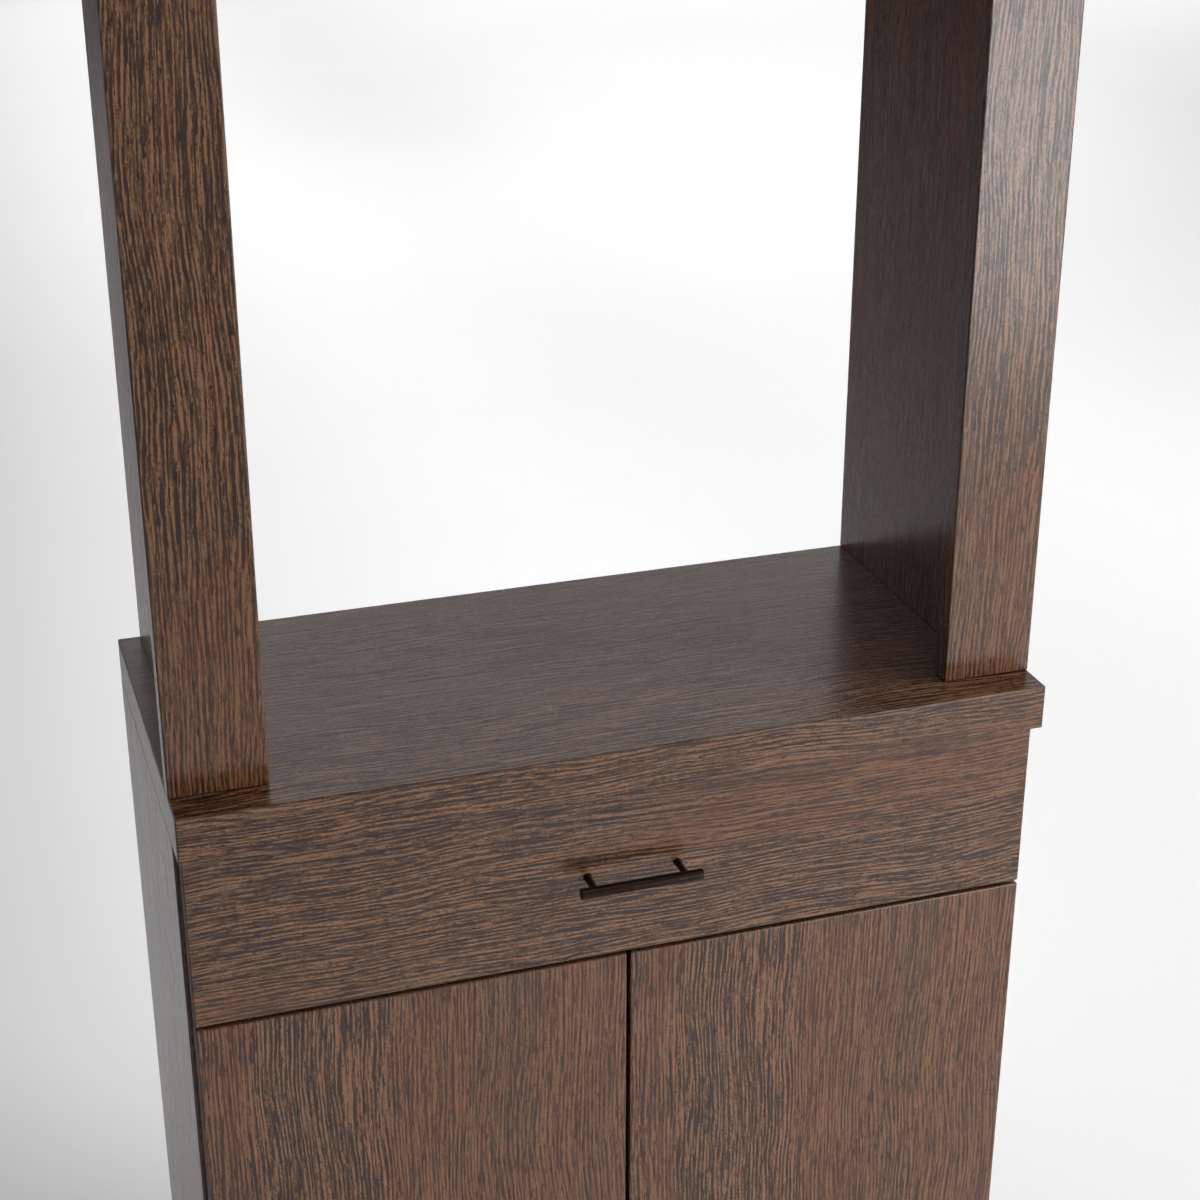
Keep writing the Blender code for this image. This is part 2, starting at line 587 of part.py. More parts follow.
def make_pull(inner_front):
    """A round bar on two posts, held by screws from inside the drawer."""
    bar_y = FACE_Y - PULL_STANDOFF
    radius = PULL_BAR_DIAMETER / 2
    half = PULL_LENGTH / 2
    profile = [(-half, 0), (-half, radius - PULL_END_CHAMFER), (PULL_END_CHAMFER - half, radius),
               (half - PULL_END_CHAMFER, radius), (half, radius - PULL_END_CHAMFER), (half, 0)]
    flat_behind = math.pi / BAR_SIDES
    bar = piece("bar_pull", turning(profile, (PULL_OFF_CENTRE, bar_y, PULL_Z), "X", BAR_SIDES, flat_behind),
                DARK_BRONZE, smooth=True)
    posts = [rod((x, bar_y, PULL_Z), (x, FACE_Y - SEAT, PULL_Z), PULL_POST_DIAMETER / 2, ROUND_SIDES)
             for x in pull_post_places()]
    threads = [rod((x, FACE_Y - PULL_SCREW_BITE - SEAT, PULL_Z), (x, FACE_Y + OVERRUN, PULL_Z),
                   PULL_SCREW_DIAMETER / 2 + SEAT, SMALL_ROUND_SIDES) for x in pull_post_places()]
    join(bar, *posts)
    cut(bar, *threads)
    shank = PULL_SCREW_DIAMETER / 2
    head = PULL_SCREW_HEAD_DIAMETER / 2
    seat = inner_front + SEAT
    tip = FACE_Y - PULL_SCREW_BITE
    rim = PULL_SCREW_HEAD_HEIGHT / 2
    profile = [(tip - seat, 0), (tip - seat, shank), (0, shank), (0, head), (rim, head),
               (PULL_SCREW_HEAD_HEIGHT, head - rim), (PULL_SCREW_HEAD_HEIGHT, 0)]
    screws = []
    for label, x in zip(("left", "right"), pull_post_places()):
        screw = piece("pull_screw_" + label, turning(profile, (x, seat, PULL_Z), "Y", SMALL_ROUND_SIDES),
                      ZINC_STEEL, smooth=True)
        slot_y = seat + PULL_SCREW_HEAD_HEIGHT - PULL_SCREW_SLOT_DEPTH
        half_slot = PULL_SCREW_SLOT_WIDTH / 2
        cut(screw, board((x - head - OVERRUN, slot_y, PULL_Z - half_slot),
                         (x + head + OVERRUN, seat + PULL_SCREW_HEAD_HEIGHT + OVERRUN, PULL_Z + half_slot)))
        screws.append(screw)
    return [bar] + screws


def hinge_place(side, inward, ahead):
    """(x, y) of a place given inward from the side panel's inner face and ahead of the cabinet's front."""
    return (side * (SIDE_INNER - inward), CARCASS_Y - ahead)


def eye_arc(centre, away, radius, half):
    """Points round an eye, from one side of the strip that reaches it to the other, going clockwise."""
    opening = math.asin(half / radius)
    first = math.atan2(-away.y, -away.x) - opening
    sweep = 2 * (math.pi - opening)
    turns = [first - sweep * step / ROUND_SIDES for step in range(ROUND_SIDES + 1)]
    return [centre + radius * Vector((math.cos(turn), math.sin(turn))) for turn in turns]


def link_outline(route, thickness, start_radius, end_radius):
    """A strip of even thickness, mitred at the bends of its route, with a round eye at each end."""
    route = [Vector(point) for point in route]
    half = thickness / 2
    runs = [(after - before).normalized() for before, after in zip(route, route[1:])]
    near, far = [], []
    for bend, before, after in zip(route[1:-1], runs, runs[1:]):
        normal = (before + after).normalized().orthogonal()
        reach = half / normal.dot(before.orthogonal())
        near.append(bend + normal * reach)
        far.append(bend - normal * reach)
    return (eye_arc(route[0], -runs[0], start_radius, half) + near
            + eye_arc(route[-1], runs[-1], end_radius, half) + far[::-1])


def cup_centre_inward():
    """The cup's centre, inward from the side panel's inner face, negative over the panel's edge."""
    door_edge = -(PANEL_THICKNESS - REVEAL)
    return door_edge + CUP_EDGE_DISTANCE + CUP_DIAMETER / 2


def door_pivot(side):
    """(x, y) of the pin on which the door turns in its links."""
    return hinge_place(side, -DOOR_PIVOT_OUTWARD, DOOR_PIVOT_AHEAD)


def link_pivot(side):
    """(x, y) of the pin on which the links turn in their arms."""
    return hinge_place(side, LINK_PIVOT_INWARD, -LINK_PIVOT_BEHIND)


def make_hinge_cup(side, name, z):
    """A drawn cup with a winged flange on the door's back, and the pin across it."""
    x, _ = hinge_place(side, cup_centre_inward(), 0)
    radius = CUP_DIAMETER / 2 - SEAT
    floor = CUP_BORE_DEPTH - SEAT
    inner = radius - CUP_WALL
    lip = SEAT + CUP_WING_THICKNESS
    cup = piece(name, rod((x, FACE_BACK_Y + SEAT + SEAT, z), (x, FACE_BACK_Y - floor, z), radius, CUP_SIDES),
                NICKEL_STEEL, smooth=True)
    wing_x = x - side * CUP_WING_OFFSET
    wing = board((wing_x - CUP_WING_WIDTH / 2, FACE_BACK_Y + SEAT, z - CUP_WING_LENGTH / 2),
                 (wing_x + CUP_WING_WIDTH / 2, FACE_BACK_Y + lip, z + CUP_WING_LENGTH / 2))
    cavity = rod((x, FACE_BACK_Y - floor + CUP_FLOOR, z), (x, FACE_BACK_Y + lip + OVERRUN, z), inner, CUP_SIDES)
    join(cup, wing)
    cut(cup, cavity)
    pin_x, pin_y = door_pivot(side)
    outermost = abs(pin_x - x) + DOOR_PIVOT_PIN_RADIUS
    half_pin = math.sqrt((radius - CUP_WALL / 4) ** 2 - outermost ** 2)
    join(cup, rod((pin_x, pin_y, z - half_pin), (pin_x, pin_y, z + half_pin), DOOR_PIVOT_PIN_RADIUS,
                  SMALL_ROUND_SIDES))
    return cup


def make_hinge_link(side, name, z):
    """A gooseneck link, bent round the door's edge when open, with an eye at each end."""
    low, high = z - LINK_WIDTH / 2, z + LINK_WIDTH / 2
    start = link_pivot(side)
    end = door_pivot(side)
    route = [start, hinge_place(side, GOOSENECK_RISE_INWARD, 0),
             hinge_place(side, GOOSENECK_CREST_INWARD, GOOSENECK_CREST_AHEAD),
             hinge_place(side, -GOOSENECK_CREST_OUTWARD, GOOSENECK_CREST_AHEAD), end]
    outline = link_outline(route, LINK_THICKNESS, LINK_PIVOT_EYE_RADIUS, DOOR_PIVOT_EYE_RADIUS)
    link = piece(name, extrusion(outline, "Z", low, high), NICKEL_STEEL)
    for (x, y), pin in ((start, LINK_PIVOT_PIN_RADIUS), (end, DOOR_PIVOT_PIN_RADIUS)):
        cut(link, rod((x, y, low - OVERRUN), (x, y, high + OVERRUN), pin + SEAT, ROUND_SIDES))
    return link


def make_hinge_arm(side, name, z):
    """A folded steel arm with the links' pin through its nose, on a cross-shaped mounting plate."""
    pivot_x, pivot_y = link_pivot(side)
    cheek_inner = LINK_WIDTH / 2 + ARM_SIDE_GAP
    cheek_outer = cheek_inner + ARM_STEEL
    turns = [math.pi * step / NOSE_STEPS for step in range(NOSE_STEPS + 1)]
    outline = [(pivot_x + side * ARM_NOSE_RADIUS * math.cos(turn), pivot_y - ARM_NOSE_RADIUS * math.sin(turn))
               for turn in turns]
    web_x, _ = hinge_place(side, ARM_DEPTH_INWARD, 0)
    under_x, _ = hinge_place(side, ARM_UNDERSIDE, 0)
    web_front = CARCASS_Y + ARM_WEB_START + ARM_STEEL
    arm_end = CARCASS_Y + ARM_LENGTH
    outline += [(web_x, web_front), (web_x, arm_end), (under_x, arm_end), (under_x, CARCASS_Y + ARM_WEB_START)]
    arm = piece(name, extrusion(outline, "Z", z - cheek_outer, z + cheek_outer), NICKEL_STEEL)
    under_web = web_x + side * ARM_STEEL
    past_web = web_x - side * OVERRUN
    past_wall = side * HALF_WIDTH
    past_nose = pivot_y - ARM_NOSE_RADIUS - OVERRUN
    fold = [(past_web, past_nose), (past_web, web_front), (under_web, web_front), (under_web, arm_end + OVERRUN),
            (past_wall, arm_end + OVERRUN), (past_wall, past_nose)]
    cut(arm, extrusion(fold, "Z", z - cheek_inner, z + cheek_inner))
    half_pin = cheek_outer - SEAT
    pin = rod((pivot_x, pivot_y, z - half_pin), (pivot_x, pivot_y, z + half_pin), LINK_PIVOT_PIN_RADIUS,
              SMALL_ROUND_SIDES)
    plate_inner = side * (SIDE_INNER - SEAT)
    plate_outer = side * (SIDE_INNER - SEAT - PLATE_THICKNESS)
    plate_y = CARCASS_Y + PLATE_START
    plate_end = plate_y + PLATE_LENGTH
    wing_y = plate_y + (PLATE_LENGTH - PLATE_WING_LENGTH) / 2
    wing_end = wing_y + PLATE_WING_LENGTH
    narrow, wide = PLATE_WIDTH / 2, PLATE_WING_SPAN / 2
    cross = [(plate_y, -narrow), (wing_y, -narrow), (wing_y, -wide), (wing_end, -wide), (wing_end, -narrow),
             (plate_end, -narrow), (plate_end, narrow), (wing_end, narrow), (wing_end, wide), (wing_y, wide),
             (wing_y, narrow), (plate_y, narrow)]
    plate = extrusion([(y, z + up) for y, up in cross], "X", plate_inner, plate_outer)
    screw_y = (wing_y + wing_end) / 2
    screws = [rod((plate_outer + side * PLATE_SCREW_HEIGHT, screw_y, z + sense * PLATE_SCREW_SPACING / 2),
                  (plate_outer - side * PLATE_SCREW_HEIGHT, screw_y, z + sense * PLATE_SCREW_SPACING / 2),
                  PLATE_SCREW_DIAMETER / 2, SMALL_ROUND_SIDES) for sense in (-1, 1)]
    join(arm, pin, plate, *screws)
    return arm


def make_doors():
    """Two slab doors, each on two cup hinges."""
    for side in (-1, 1):
        hinged_x = side * (HALF_WIDTH - REVEAL)
        meeting_x = side * REVEAL / 2
        door = piece(side_name(side) + "_door", board((hinged_x, FACE_Y, DOOR_BOTTOM), (meeting_x, FACE_BACK_Y, DOOR_TOP)),
                     DARK_VENEER, rounded=EDGE_ROUNDING)
        cup_x, _ = hinge_place(side, cup_centre_inward(), 0)
        door_pieces = [door]
        links = []
        for label, z in (("upper", DOOR_TOP - HINGE_END_DISTANCE), ("lower", DOOR_BOTTOM + HINGE_END_DISTANCE)):
            cut(door, rod((cup_x, FACE_BACK_Y - CUP_BORE_DEPTH, z), (cup_x, FACE_BACK_Y + OVERRUN, z),
                          CUP_DIAMETER / 2, CUP_SIDES))
            door_pieces.append(make_hinge_cup(side, f"hinge_cup_{side_name(side)}_{label}", z))
            links.append(make_hinge_link(side, f"hinge_link_{side_name(side)}_{label}", z))
            make_hinge_arm(side, f"hinge_arm_{side_name(side)}_{label}", z)
        carried(side_name(side) + "_door_axis", (*door_pivot(side), DOOR_BOTTOM), door_pieces)
        carried(side_name(side) + "_links_axis", (*link_pivot(side), DOOR_BOTTOM), links)


def make_push_latches():
    """Spring latches under the divider rail that push the doors open, since these have no handles."""
    z = DIVIDER_BOTTOM - SEAT - LATCH_HEIGHT / 2
    start = CARCASS_Y + LATCH_SETBACK
    tip = FACE_BACK_Y + SEAT
    radius = PLUNGER_DIAMETER / 2
    for side in (-1, 1):
        x = side * LATCH_INSET
        housing = piece("latch_housing_" + side_name(side),
                        board((x - LATCH_WIDTH / 2, start, z - LATCH_HEIGHT / 2),
                              (x + LATCH_WIDTH / 2, start + LATCH_LENGTH, z + LATCH_HEIGHT / 2)),
                        DARK_POLYMER, rounded=LATCH_ROUNDING)
        bore_end = tip + PLUNGER_LENGTH + PLUNGER_SPRING_ROOM
        cut(housing, rod((x, start - OVERRUN, z), (x, bore_end, z), radius + PLUNGER_RUNNING_GAP, ROUND_SIDES))
        profile = [(0, 0), (0, radius - PLUNGER_TIP_CHAMFER), (PLUNGER_TIP_CHAMFER, radius),
                   (PLUNGER_LENGTH, radius), (PLUNGER_LENGTH, 0)]
        plunger = piece("latch_plunger_" + side_name(side), turning(profile, (x, tip, z), "Y", ROUND_SIDES),
                        PALE_POLYMER, smooth=True)
        carried(side_name(side) + "_plunger_axis", (x, tip, z), [plunger])


clear_scene()
make_carcass()
make_counter()
make_hutch()
make_drawer(make_slides())
make_doors()
make_push_latches()
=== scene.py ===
"""Wine tasting station in dark oak veneer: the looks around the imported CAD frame.
"""
import math

import bpy
import numpy as np
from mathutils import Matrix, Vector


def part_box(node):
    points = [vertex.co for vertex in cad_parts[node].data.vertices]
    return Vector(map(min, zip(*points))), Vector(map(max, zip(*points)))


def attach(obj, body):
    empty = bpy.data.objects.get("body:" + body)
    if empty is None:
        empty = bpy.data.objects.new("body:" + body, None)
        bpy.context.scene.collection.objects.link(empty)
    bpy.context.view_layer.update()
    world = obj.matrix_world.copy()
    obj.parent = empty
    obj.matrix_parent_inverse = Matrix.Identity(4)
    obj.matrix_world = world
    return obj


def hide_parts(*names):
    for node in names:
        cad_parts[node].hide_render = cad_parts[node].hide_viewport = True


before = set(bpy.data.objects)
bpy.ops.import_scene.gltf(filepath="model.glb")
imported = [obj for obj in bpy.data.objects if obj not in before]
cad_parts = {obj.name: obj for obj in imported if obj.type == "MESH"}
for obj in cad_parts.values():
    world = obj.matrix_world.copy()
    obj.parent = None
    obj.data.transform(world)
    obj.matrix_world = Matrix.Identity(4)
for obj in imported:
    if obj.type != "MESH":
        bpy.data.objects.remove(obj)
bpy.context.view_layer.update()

# Camera
# A 67 mm lens on a 36 mm sensor, at eye height and to the left of the station, looking down onto
# the counter.
LOOK_DOWN = 23.98
TURN_RIGHT = 18.17
camera_data = bpy.data.cameras.new("camera")
camera_data.lens = 67.18
camera_data.sensor_width = 36.0
camera = bpy.data.objects.new("camera", camera_data)
camera.location = (-0.5053, -1.608675, 1.7245)
camera.rotation_euler = (math.radians(90 - LOOK_DOWN), 0, math.radians(-TURN_RIGHT))
bpy.context.scene.collection.objects.link(camera)
bpy.context.scene.camera = camera
bpy.context.scene.view_settings.view_transform = "Standard"

# Studio floor, backdrop and lamps
# One seamless sheet of pale matt paper: a flat floor that curves up all round into a low wall, under
# soft lamps. The paper's own colour gives the white background.


def ringed_sheet(name, rings, finish):
    """A smooth mesh through rings of points, where rings[i, j] is step j round ring i.

    Each cell between two rings becomes one quad, and the last step round joins the first.
    """
    rows, columns = rings.shape[:2]
    i, j = np.meshgrid(np.arange(rows - 1), np.arange(columns), indexing="ij")
    after = (j + 1) % columns
    corners = np.stack([i * columns + j, (i + 1) * columns + j, (i + 1) * columns + after,
                        i * columns + after], -1).reshape(-1, 4)
    mesh = bpy.data.meshes.new(name)
    mesh.from_pydata(rings.reshape(-1, 3), [], corners.tolist())
    mesh.polygons.foreach_set("use_smooth", np.full(len(corners), True))
    mesh.materials.append(finish)
    made = bpy.data.objects.new(name, mesh)
    bpy.context.scene.collection.objects.link(made)
    return made


def shader_node(tree, kind, sockets=(), **settings):
    """Add a shader node. sockets gives plain values, or the outputs of other nodes, for its inputs."""
    made = tree.nodes.new("ShaderNode" + kind)
    for setting, value in settings.items():
        setattr(made, setting, value)
    for socket, value in dict(sockets).items():
        if isinstance(value, bpy.types.NodeSocket):
            tree.links.new(value, made.inputs[socket])
        else:
            made.inputs[socket].default_value = value
    return made


def new_finish(name, **sockets):
    """A material, its node tree, and its Principled shader with the named sockets set."""
    finish = bpy.data.materials.new(name)
    finish.use_nodes = True
    shader = finish.node_tree.nodes["Principled BSDF"]
    for socket, value in sockets.items():
        shader.inputs[socket.replace("_", " ")].default_value = value
    return finish, finish.node_tree, shader


def calc(tree, operation, *values):
    """The result of one step of arithmetic on numbers and outputs of nodes."""
    return shader_node(tree, "Math", dict(enumerate(values)), operation=operation).outputs[0]


def shade_step(tree, value, low, high):
    """0 below low, 1 above high, and a smooth climb between; it falls instead where low is above high."""
    climb = shader_node(tree, "MapRange", {"Value": value, "From Min": low, "From Max": high},
                        interpolation_type="SMOOTHSTEP")
    return climb.outputs["Result"]


FLAT_RINGS = (0.001, 2.5, 6.0)
FLOOR_RADIUS = 11.0
WALL_SWEEP = 3.0
WALL_RISE = 3.0
PAPER_SHADES = (0.86, 0.89)
PAPER_GLOW = 0.42
GLOW_ROUND = (0.77, 0.2)
GLOW_REACH = (2.5, 6.5)
paper, tree, shader = new_finish("studio_paper", Roughness=0.9, Specular_IOR_Level=0.1,
                                 Emission_Color=(1, 1, 1, 1))
where = shader_node(tree, "TexCoord").outputs["Object"]
mottle = shader_node(tree, "TexNoise", {"Vector": where, "Scale": 1.5})
paper_tone = shader_node(tree, "ValToRGB", {"Fac": mottle.outputs["Fac"]})
for stop, shade in zip(paper_tone.color_ramp.elements, PAPER_SHADES):
    stop.color = (shade, shade, shade, 1)
tree.links.new(paper_tone.outputs["Color"], shader.inputs["Base Color"])
# Beside and before the station, past the lamps' reach, the paper shows pale to the eye and in
# reflections, but adds no light. Its glow rises as the cosine of the angle from +Y, y / r, falls, and
# as the distance r grows.
reach = shader_node(tree, "VectorMath", {0: where}, operation="LENGTH").outputs["Value"]
ahead = calc(tree, "DIVIDE", shader_node(tree, "SeparateXYZ", {0: where}).outputs[1], reach)
glow = calc(tree, "MULTIPLY", shade_step(tree, ahead, *GLOW_ROUND), shade_step(tree, reach, *GLOW_REACH))
glow = calc(tree, "MULTIPLY", glow, PAPER_GLOW)
ray = shader_node(tree, "LightPath").outputs
seen = calc(tree, "MAXIMUM", ray["Is Glossy Ray"], ray["Is Transmission Ray"])
seen = calc(tree, "MAXIMUM", ray["Is Camera Ray"], seen)
tree.links.new(calc(tree, "MULTIPLY", glow, seen), shader.inputs["Emission Strength"])

turns = np.linspace(0, 2 * math.pi, 96, endpoint=False)
bend = np.linspace(0, math.pi / 2, 16)
wall_radii = FLOOR_RADIUS + WALL_SWEEP * np.sin(bend)
wall_heights = WALL_SWEEP * (1 - np.cos(bend))
radii = np.concatenate([FLAT_RINGS, wall_radii, wall_radii[-1:]])[:, None]
heights = np.concatenate([[0] * len(FLAT_RINGS), wall_heights, wall_heights[-1:] + WALL_RISE])[:, None]
floor_rings = np.stack([radii * np.cos(turns), radii * np.sin(turns), heights + 0 * turns], -1)
ringed_sheet("studio_floor", floor_rings, paper)

world = bpy.data.worlds.new("studio")
world.use_nodes = True
sky = world.node_tree.nodes["Background"]
sky.inputs["Color"].default_value = (1.0, 1.0, 1.0, 1)
sky.inputs["Strength"].default_value = 0.01
bpy.context.scene.world = world


def soft_lamp(name, place, aim, size, level, spread=180):
    """A soft lamp, square or (width, depth), turned to its aim.

    With a full spread, level * (pi * distance)^2 watts let a matt white face at the aim show at that
    level. A narrower spread, in degrees, shows brighter.
    """
    lamp_data = bpy.data.lights.new(name, "AREA")
    lamp_data.shape = "RECTANGLE"
    lamp_data.size, lamp_data.size_y = size if isinstance(size, tuple) else (size, size)
    lamp_data.spread = math.radians(spread)
    run = np.subtract(aim, place)
    lamp_data.energy = level * math.pi ** 2 * float(run @ run)
    lamp = bpy.data.objects.new(name, lamp_data)
    lamp.location = place
    away = -run / np.linalg.norm(run)
    lamp.rotation_euler = (math.acos(away[2]), 0, math.atan2(away[0], -away[1]))
    bpy.context.scene.collection.objects.link(lamp)


STATION_MIDDLE = (0, 0, 1.1)
for name, place, size, level in (
        ("key_lamp_low", (1.75, -2.7, 0.95), 1.2, 0.32), ("key_lamp_tall", (1.75, -2.7, 1.25), 1.8, 0.05),
        ("right_lamp", (2.8, -1.2, 2.2), 1.5, 0.85), ("left_lamp", (-2.6, 1.0, 1.5), 1.5, 0.085),
        ("top_lamp", (0, -1.6, 4.0), 2.0, 0.12), ("rear_lamp", (0.5, 6.0, 4.4), (8.0, 3.6), 0.155)):
    soft_lamp(name, place, STATION_MIDDLE, size, level)
for name, (x, y, z), size, level, spread in (
        ("floor_lamp_far", (4.4, 9.0, 4.6), (8.0, 6.0), 0.78, 80),
        ("floor_lamp_back", (2.5, 3.4, 3.8), (3.6, 6.0), 0.33, 70),
        ("floor_back_wide", (2.1, 4.2, 4.2), (4.4, 7.0), 0.036, 90),
        ("floor_gap", (1.4, 3.6, 3.4), (1.4, 4.0), 0.030, 44),
        ("floor_top_left", (1.2, 8.6, 4.0), (2.0, 3.0), 0.018, 50),
        ("floor_strip", (0.15, 5.2, 3.2), (1.5, 9.6), 0.185, 28),
        ("floor_lamp_front", (0.2, -1.3, 3.4), 1.2, 0.038, 50)):
    soft_lamp(name, (x, y, z), (x, y, 0), size, level, spread)

# Side panels of the base cabinet
# 19 mm veneered boards, notched for the toe kick, standing on the floor. The veneer is rift-cut oak,
# stained dark and lacquered, with its grain upright; every board is cut from another part of it.


def new_group(name, inputs, outputs):
    """An empty node group, what it is given, and what it puts out; the two dicts give sockets' kinds."""
    group = bpy.data.node_groups.new(name, "ShaderNodeTree")
    for in_out, sockets in (("INPUT", inputs), ("OUTPUT", outputs)):
        for label, kind in sockets.items():
            group.interface.new_socket(label, in_out=in_out, socket_type="NodeSocket" + kind)
    return group, group.nodes.new("NodeGroupInput").outputs, group.nodes.new("NodeGroupOutput").inputs


def mixed(tree, share, first, second):
    """Colour that runs from first to second as share goes from 0 to 1.

    For colours, the Mix node's sockets are 0, 6 and 7, and its result is 2.
    """
    blend = shader_node(tree, "Mix", {0: share, 6: first, 7: second}, data_type="RGBA")
    return blend.outputs[2]


def weighted(tree, *pairs):
    """The sum of value * weight over pairs of a value and its weight."""
    total = 0.0
    for value, weight in pairs:
        total = calc(tree, "MULTIPLY_ADD", value, weight, total)
    return total


def stretched_noise(tree, place, stretch, detail=2.0, rough=0.5, shift=(0, 0, 0)):
    """Noise whose blotches are 1 / stretch metres along each axis."""
    spread = shader_node(tree, "VectorMath", {0: place, 1: stretch, 2: shift}, operation="MULTIPLY_ADD")
    return shader_node(tree, "TexNoise", {"Vector": spread.outputs[0], "Scale": 1.0, "Detail": detail,
                                          "Roughness": rough})


def nudged(tree, place, noise, reach):
    """The place moved by a noise's colour: place + (colour - 0.5) * reach."""
    centred = shader_node(tree, "VectorMath", {0: noise.outputs["Color"], 1: (0.5, 0.5, 0.5)},
                          operation="SUBTRACT")
    scaled = shader_node(tree, "VectorMath", {0: centred.outputs[0], 1: reach}, operation="MULTIPLY")
    return shader_node(tree, "VectorMath", {0: place, 1: scaled.outputs[0]}, operation="ADD").outputs[0]


# Each layer's stretch, detail and roughness, and the shift that gives it its own place in the noise
GRAIN_LAYERS = {
    "warm_tone": ((11, 11, 0.9), 2.0, 0.5, (3.1, 0.7, 0.2)),
    "warm_line": ((240, 240, 8), 1.0, 0.5, (1.3, 5.1, 0.9)),
    "grey_tone": ((19, 19, 3.2), 1.0, 0.5, (7.7, 2.3, 1.6)),
    "streak": ((500, 500, 13), 2.0, 0.6, (0, 0, 0)),
    "dash": ((820, 820, 90), 1.0, 0.6, (2.9, 8.3, 4.4)),
    "fleck": ((1000, 1000, 380), 0.0, 0.5, (8.2, 3.3, 1.1)),
    "pore": ((900, 900, 75), 0.0, 0.5, (6.1, 2.2, 3.7)),
    "fibre": ((1300, 1300, 50), 1.0, 0.5, (0, 0, 0)),
    "ring_shift": ((70, 70, 9), 1.0, 0.5, (4.4, 1.9, 6.3)),
}
RING_TURN = (1720, 1440, 0)
RING_WANDER = 18.0
WAVE_REACH = 0.0013
OLIVE_BROWN = (0.112, 0.058, 0.028, 1)
RED_BROWN = (0.162, 0.065, 0.032, 1)
GREY_BROWN = (0.100, 0.055, 0.033, 1)
DARK_STREAK = (0.026, 0.007, 0.003, 1)
PALE_STREAK = (0.262, 0.140, 0.084, 1)
DARK_PORE = (0.016, 0.005, 0.003, 1)
DARK_FIBRE = (0.035, 0.020, 0.013, 1)


def make_oak_grain():
    """Stained oak with its grain along Z: wide tones, wavy streaks, short dark pores and fine fibre.

    Rain is the sum of streaks, dashes, flecks and growth rings, sin(RING_TURN . place + RING_WANDER *
    ring_shift). It is dark where low and pale where high. Where the figure is strong, lines wave and
    stand out.
    """
    group, given, put = new_group("stained_oak_grain", {"Place": "Vector", "Tone": "Color"},
                                  {"Colour": "Color", "Roughness": "Float", "Height": "Float"})
    place = given["Place"]
    figure_noise = stretched_noise(group, place, (9, 9, 1.6), 1.0)
    figure = shade_step(group, figure_noise.outputs["Fac"], 0.42, 0.56)
    drift = nudged(group, place, stretched_noise(group, place, (6, 6, 5), 1.0), (0.018, 0.018, 0))
    wave_reach = shader_node(group, "VectorMath", {0: (WAVE_REACH, WAVE_REACH, 0), "Scale": figure},
                             operation="SCALE")
    wavy = nudged(group, drift, stretched_noise(group, drift, (60, 60, 34), 0.0), wave_reach.outputs[0])
    layer = {name: stretched_noise(group, wavy, *values).outputs["Fac"]
             for name, values in GRAIN_LAYERS.items()}
    across = shader_node(group, "VectorMath", {0: wavy, 1: RING_TURN}, operation="DOT_PRODUCT")
    ring = calc(group, "SINE", calc(group, "MULTIPLY_ADD", layer["ring_shift"], RING_WANDER,
                                    across.outputs["Value"]))

    calm = calc(group, "SUBTRACT", 1.0, figure)
    warmth = weighted(group, (layer["warm_tone"], 0.46), (layer["warm_line"], 0.40), (calm, 0.14))
    toned = mixed(group, shade_step(group, warmth, 0.47, 0.57), OLIVE_BROWN, RED_BROWN)
    grey_share = calc(group, "MULTIPLY", shade_step(group, layer["grey_tone"], 0.50, 0.68), 0.6)
    toned = mixed(group, grey_share, toned, GREY_BROWN)

    rain = weighted(group, (layer["streak"], 0.54), (layer["dash"], 0.28), (layer["fleck"], 0.18),
                    (ring, 0.066))
    depth = calc(group, "MULTIPLY_ADD", figure, 0.50, 0.88)
    dark = calc(group, "MULTIPLY", shade_step(group, rain, 0.505, 0.415), depth)
    pale = calc(group, "MULTIPLY", shade_step(group, rain, 0.51, 0.60), depth)
    pore = calc(group, "MULTIPLY", shade_step(group, layer["pore"], 0.43, 0.31), depth)
    fibre = shade_step(group, layer["fibre"], 0.5, 0.8)
    for share, strength, colour in ((dark, 0.90, DARK_STREAK), (pore, 0.85, DARK_PORE),
                                    (pale, 0.56, PALE_STREAK), (fibre, 0.25, DARK_FIBRE)):
        toned = mixed(group, calc(group, "MULTIPLY", share, strength), toned, colour)
    tinted = shader_node(group, "VectorMath", {0: toned, 1: given["Tone"]}, operation="MULTIPLY")
    group.links.new(tinted.outputs[0], put["Colour"])
    group.links.new(calc(group, "MULTIPLY_ADD", dark, 0.05, 0.245), put["Roughness"])
    group.links.new(rain, put["Height"])
    return group


oak_grain = make_oak_grain()
EDGE_RAGGED = 0.0022
EDGE_FADE = (0.0021, 0.0003)


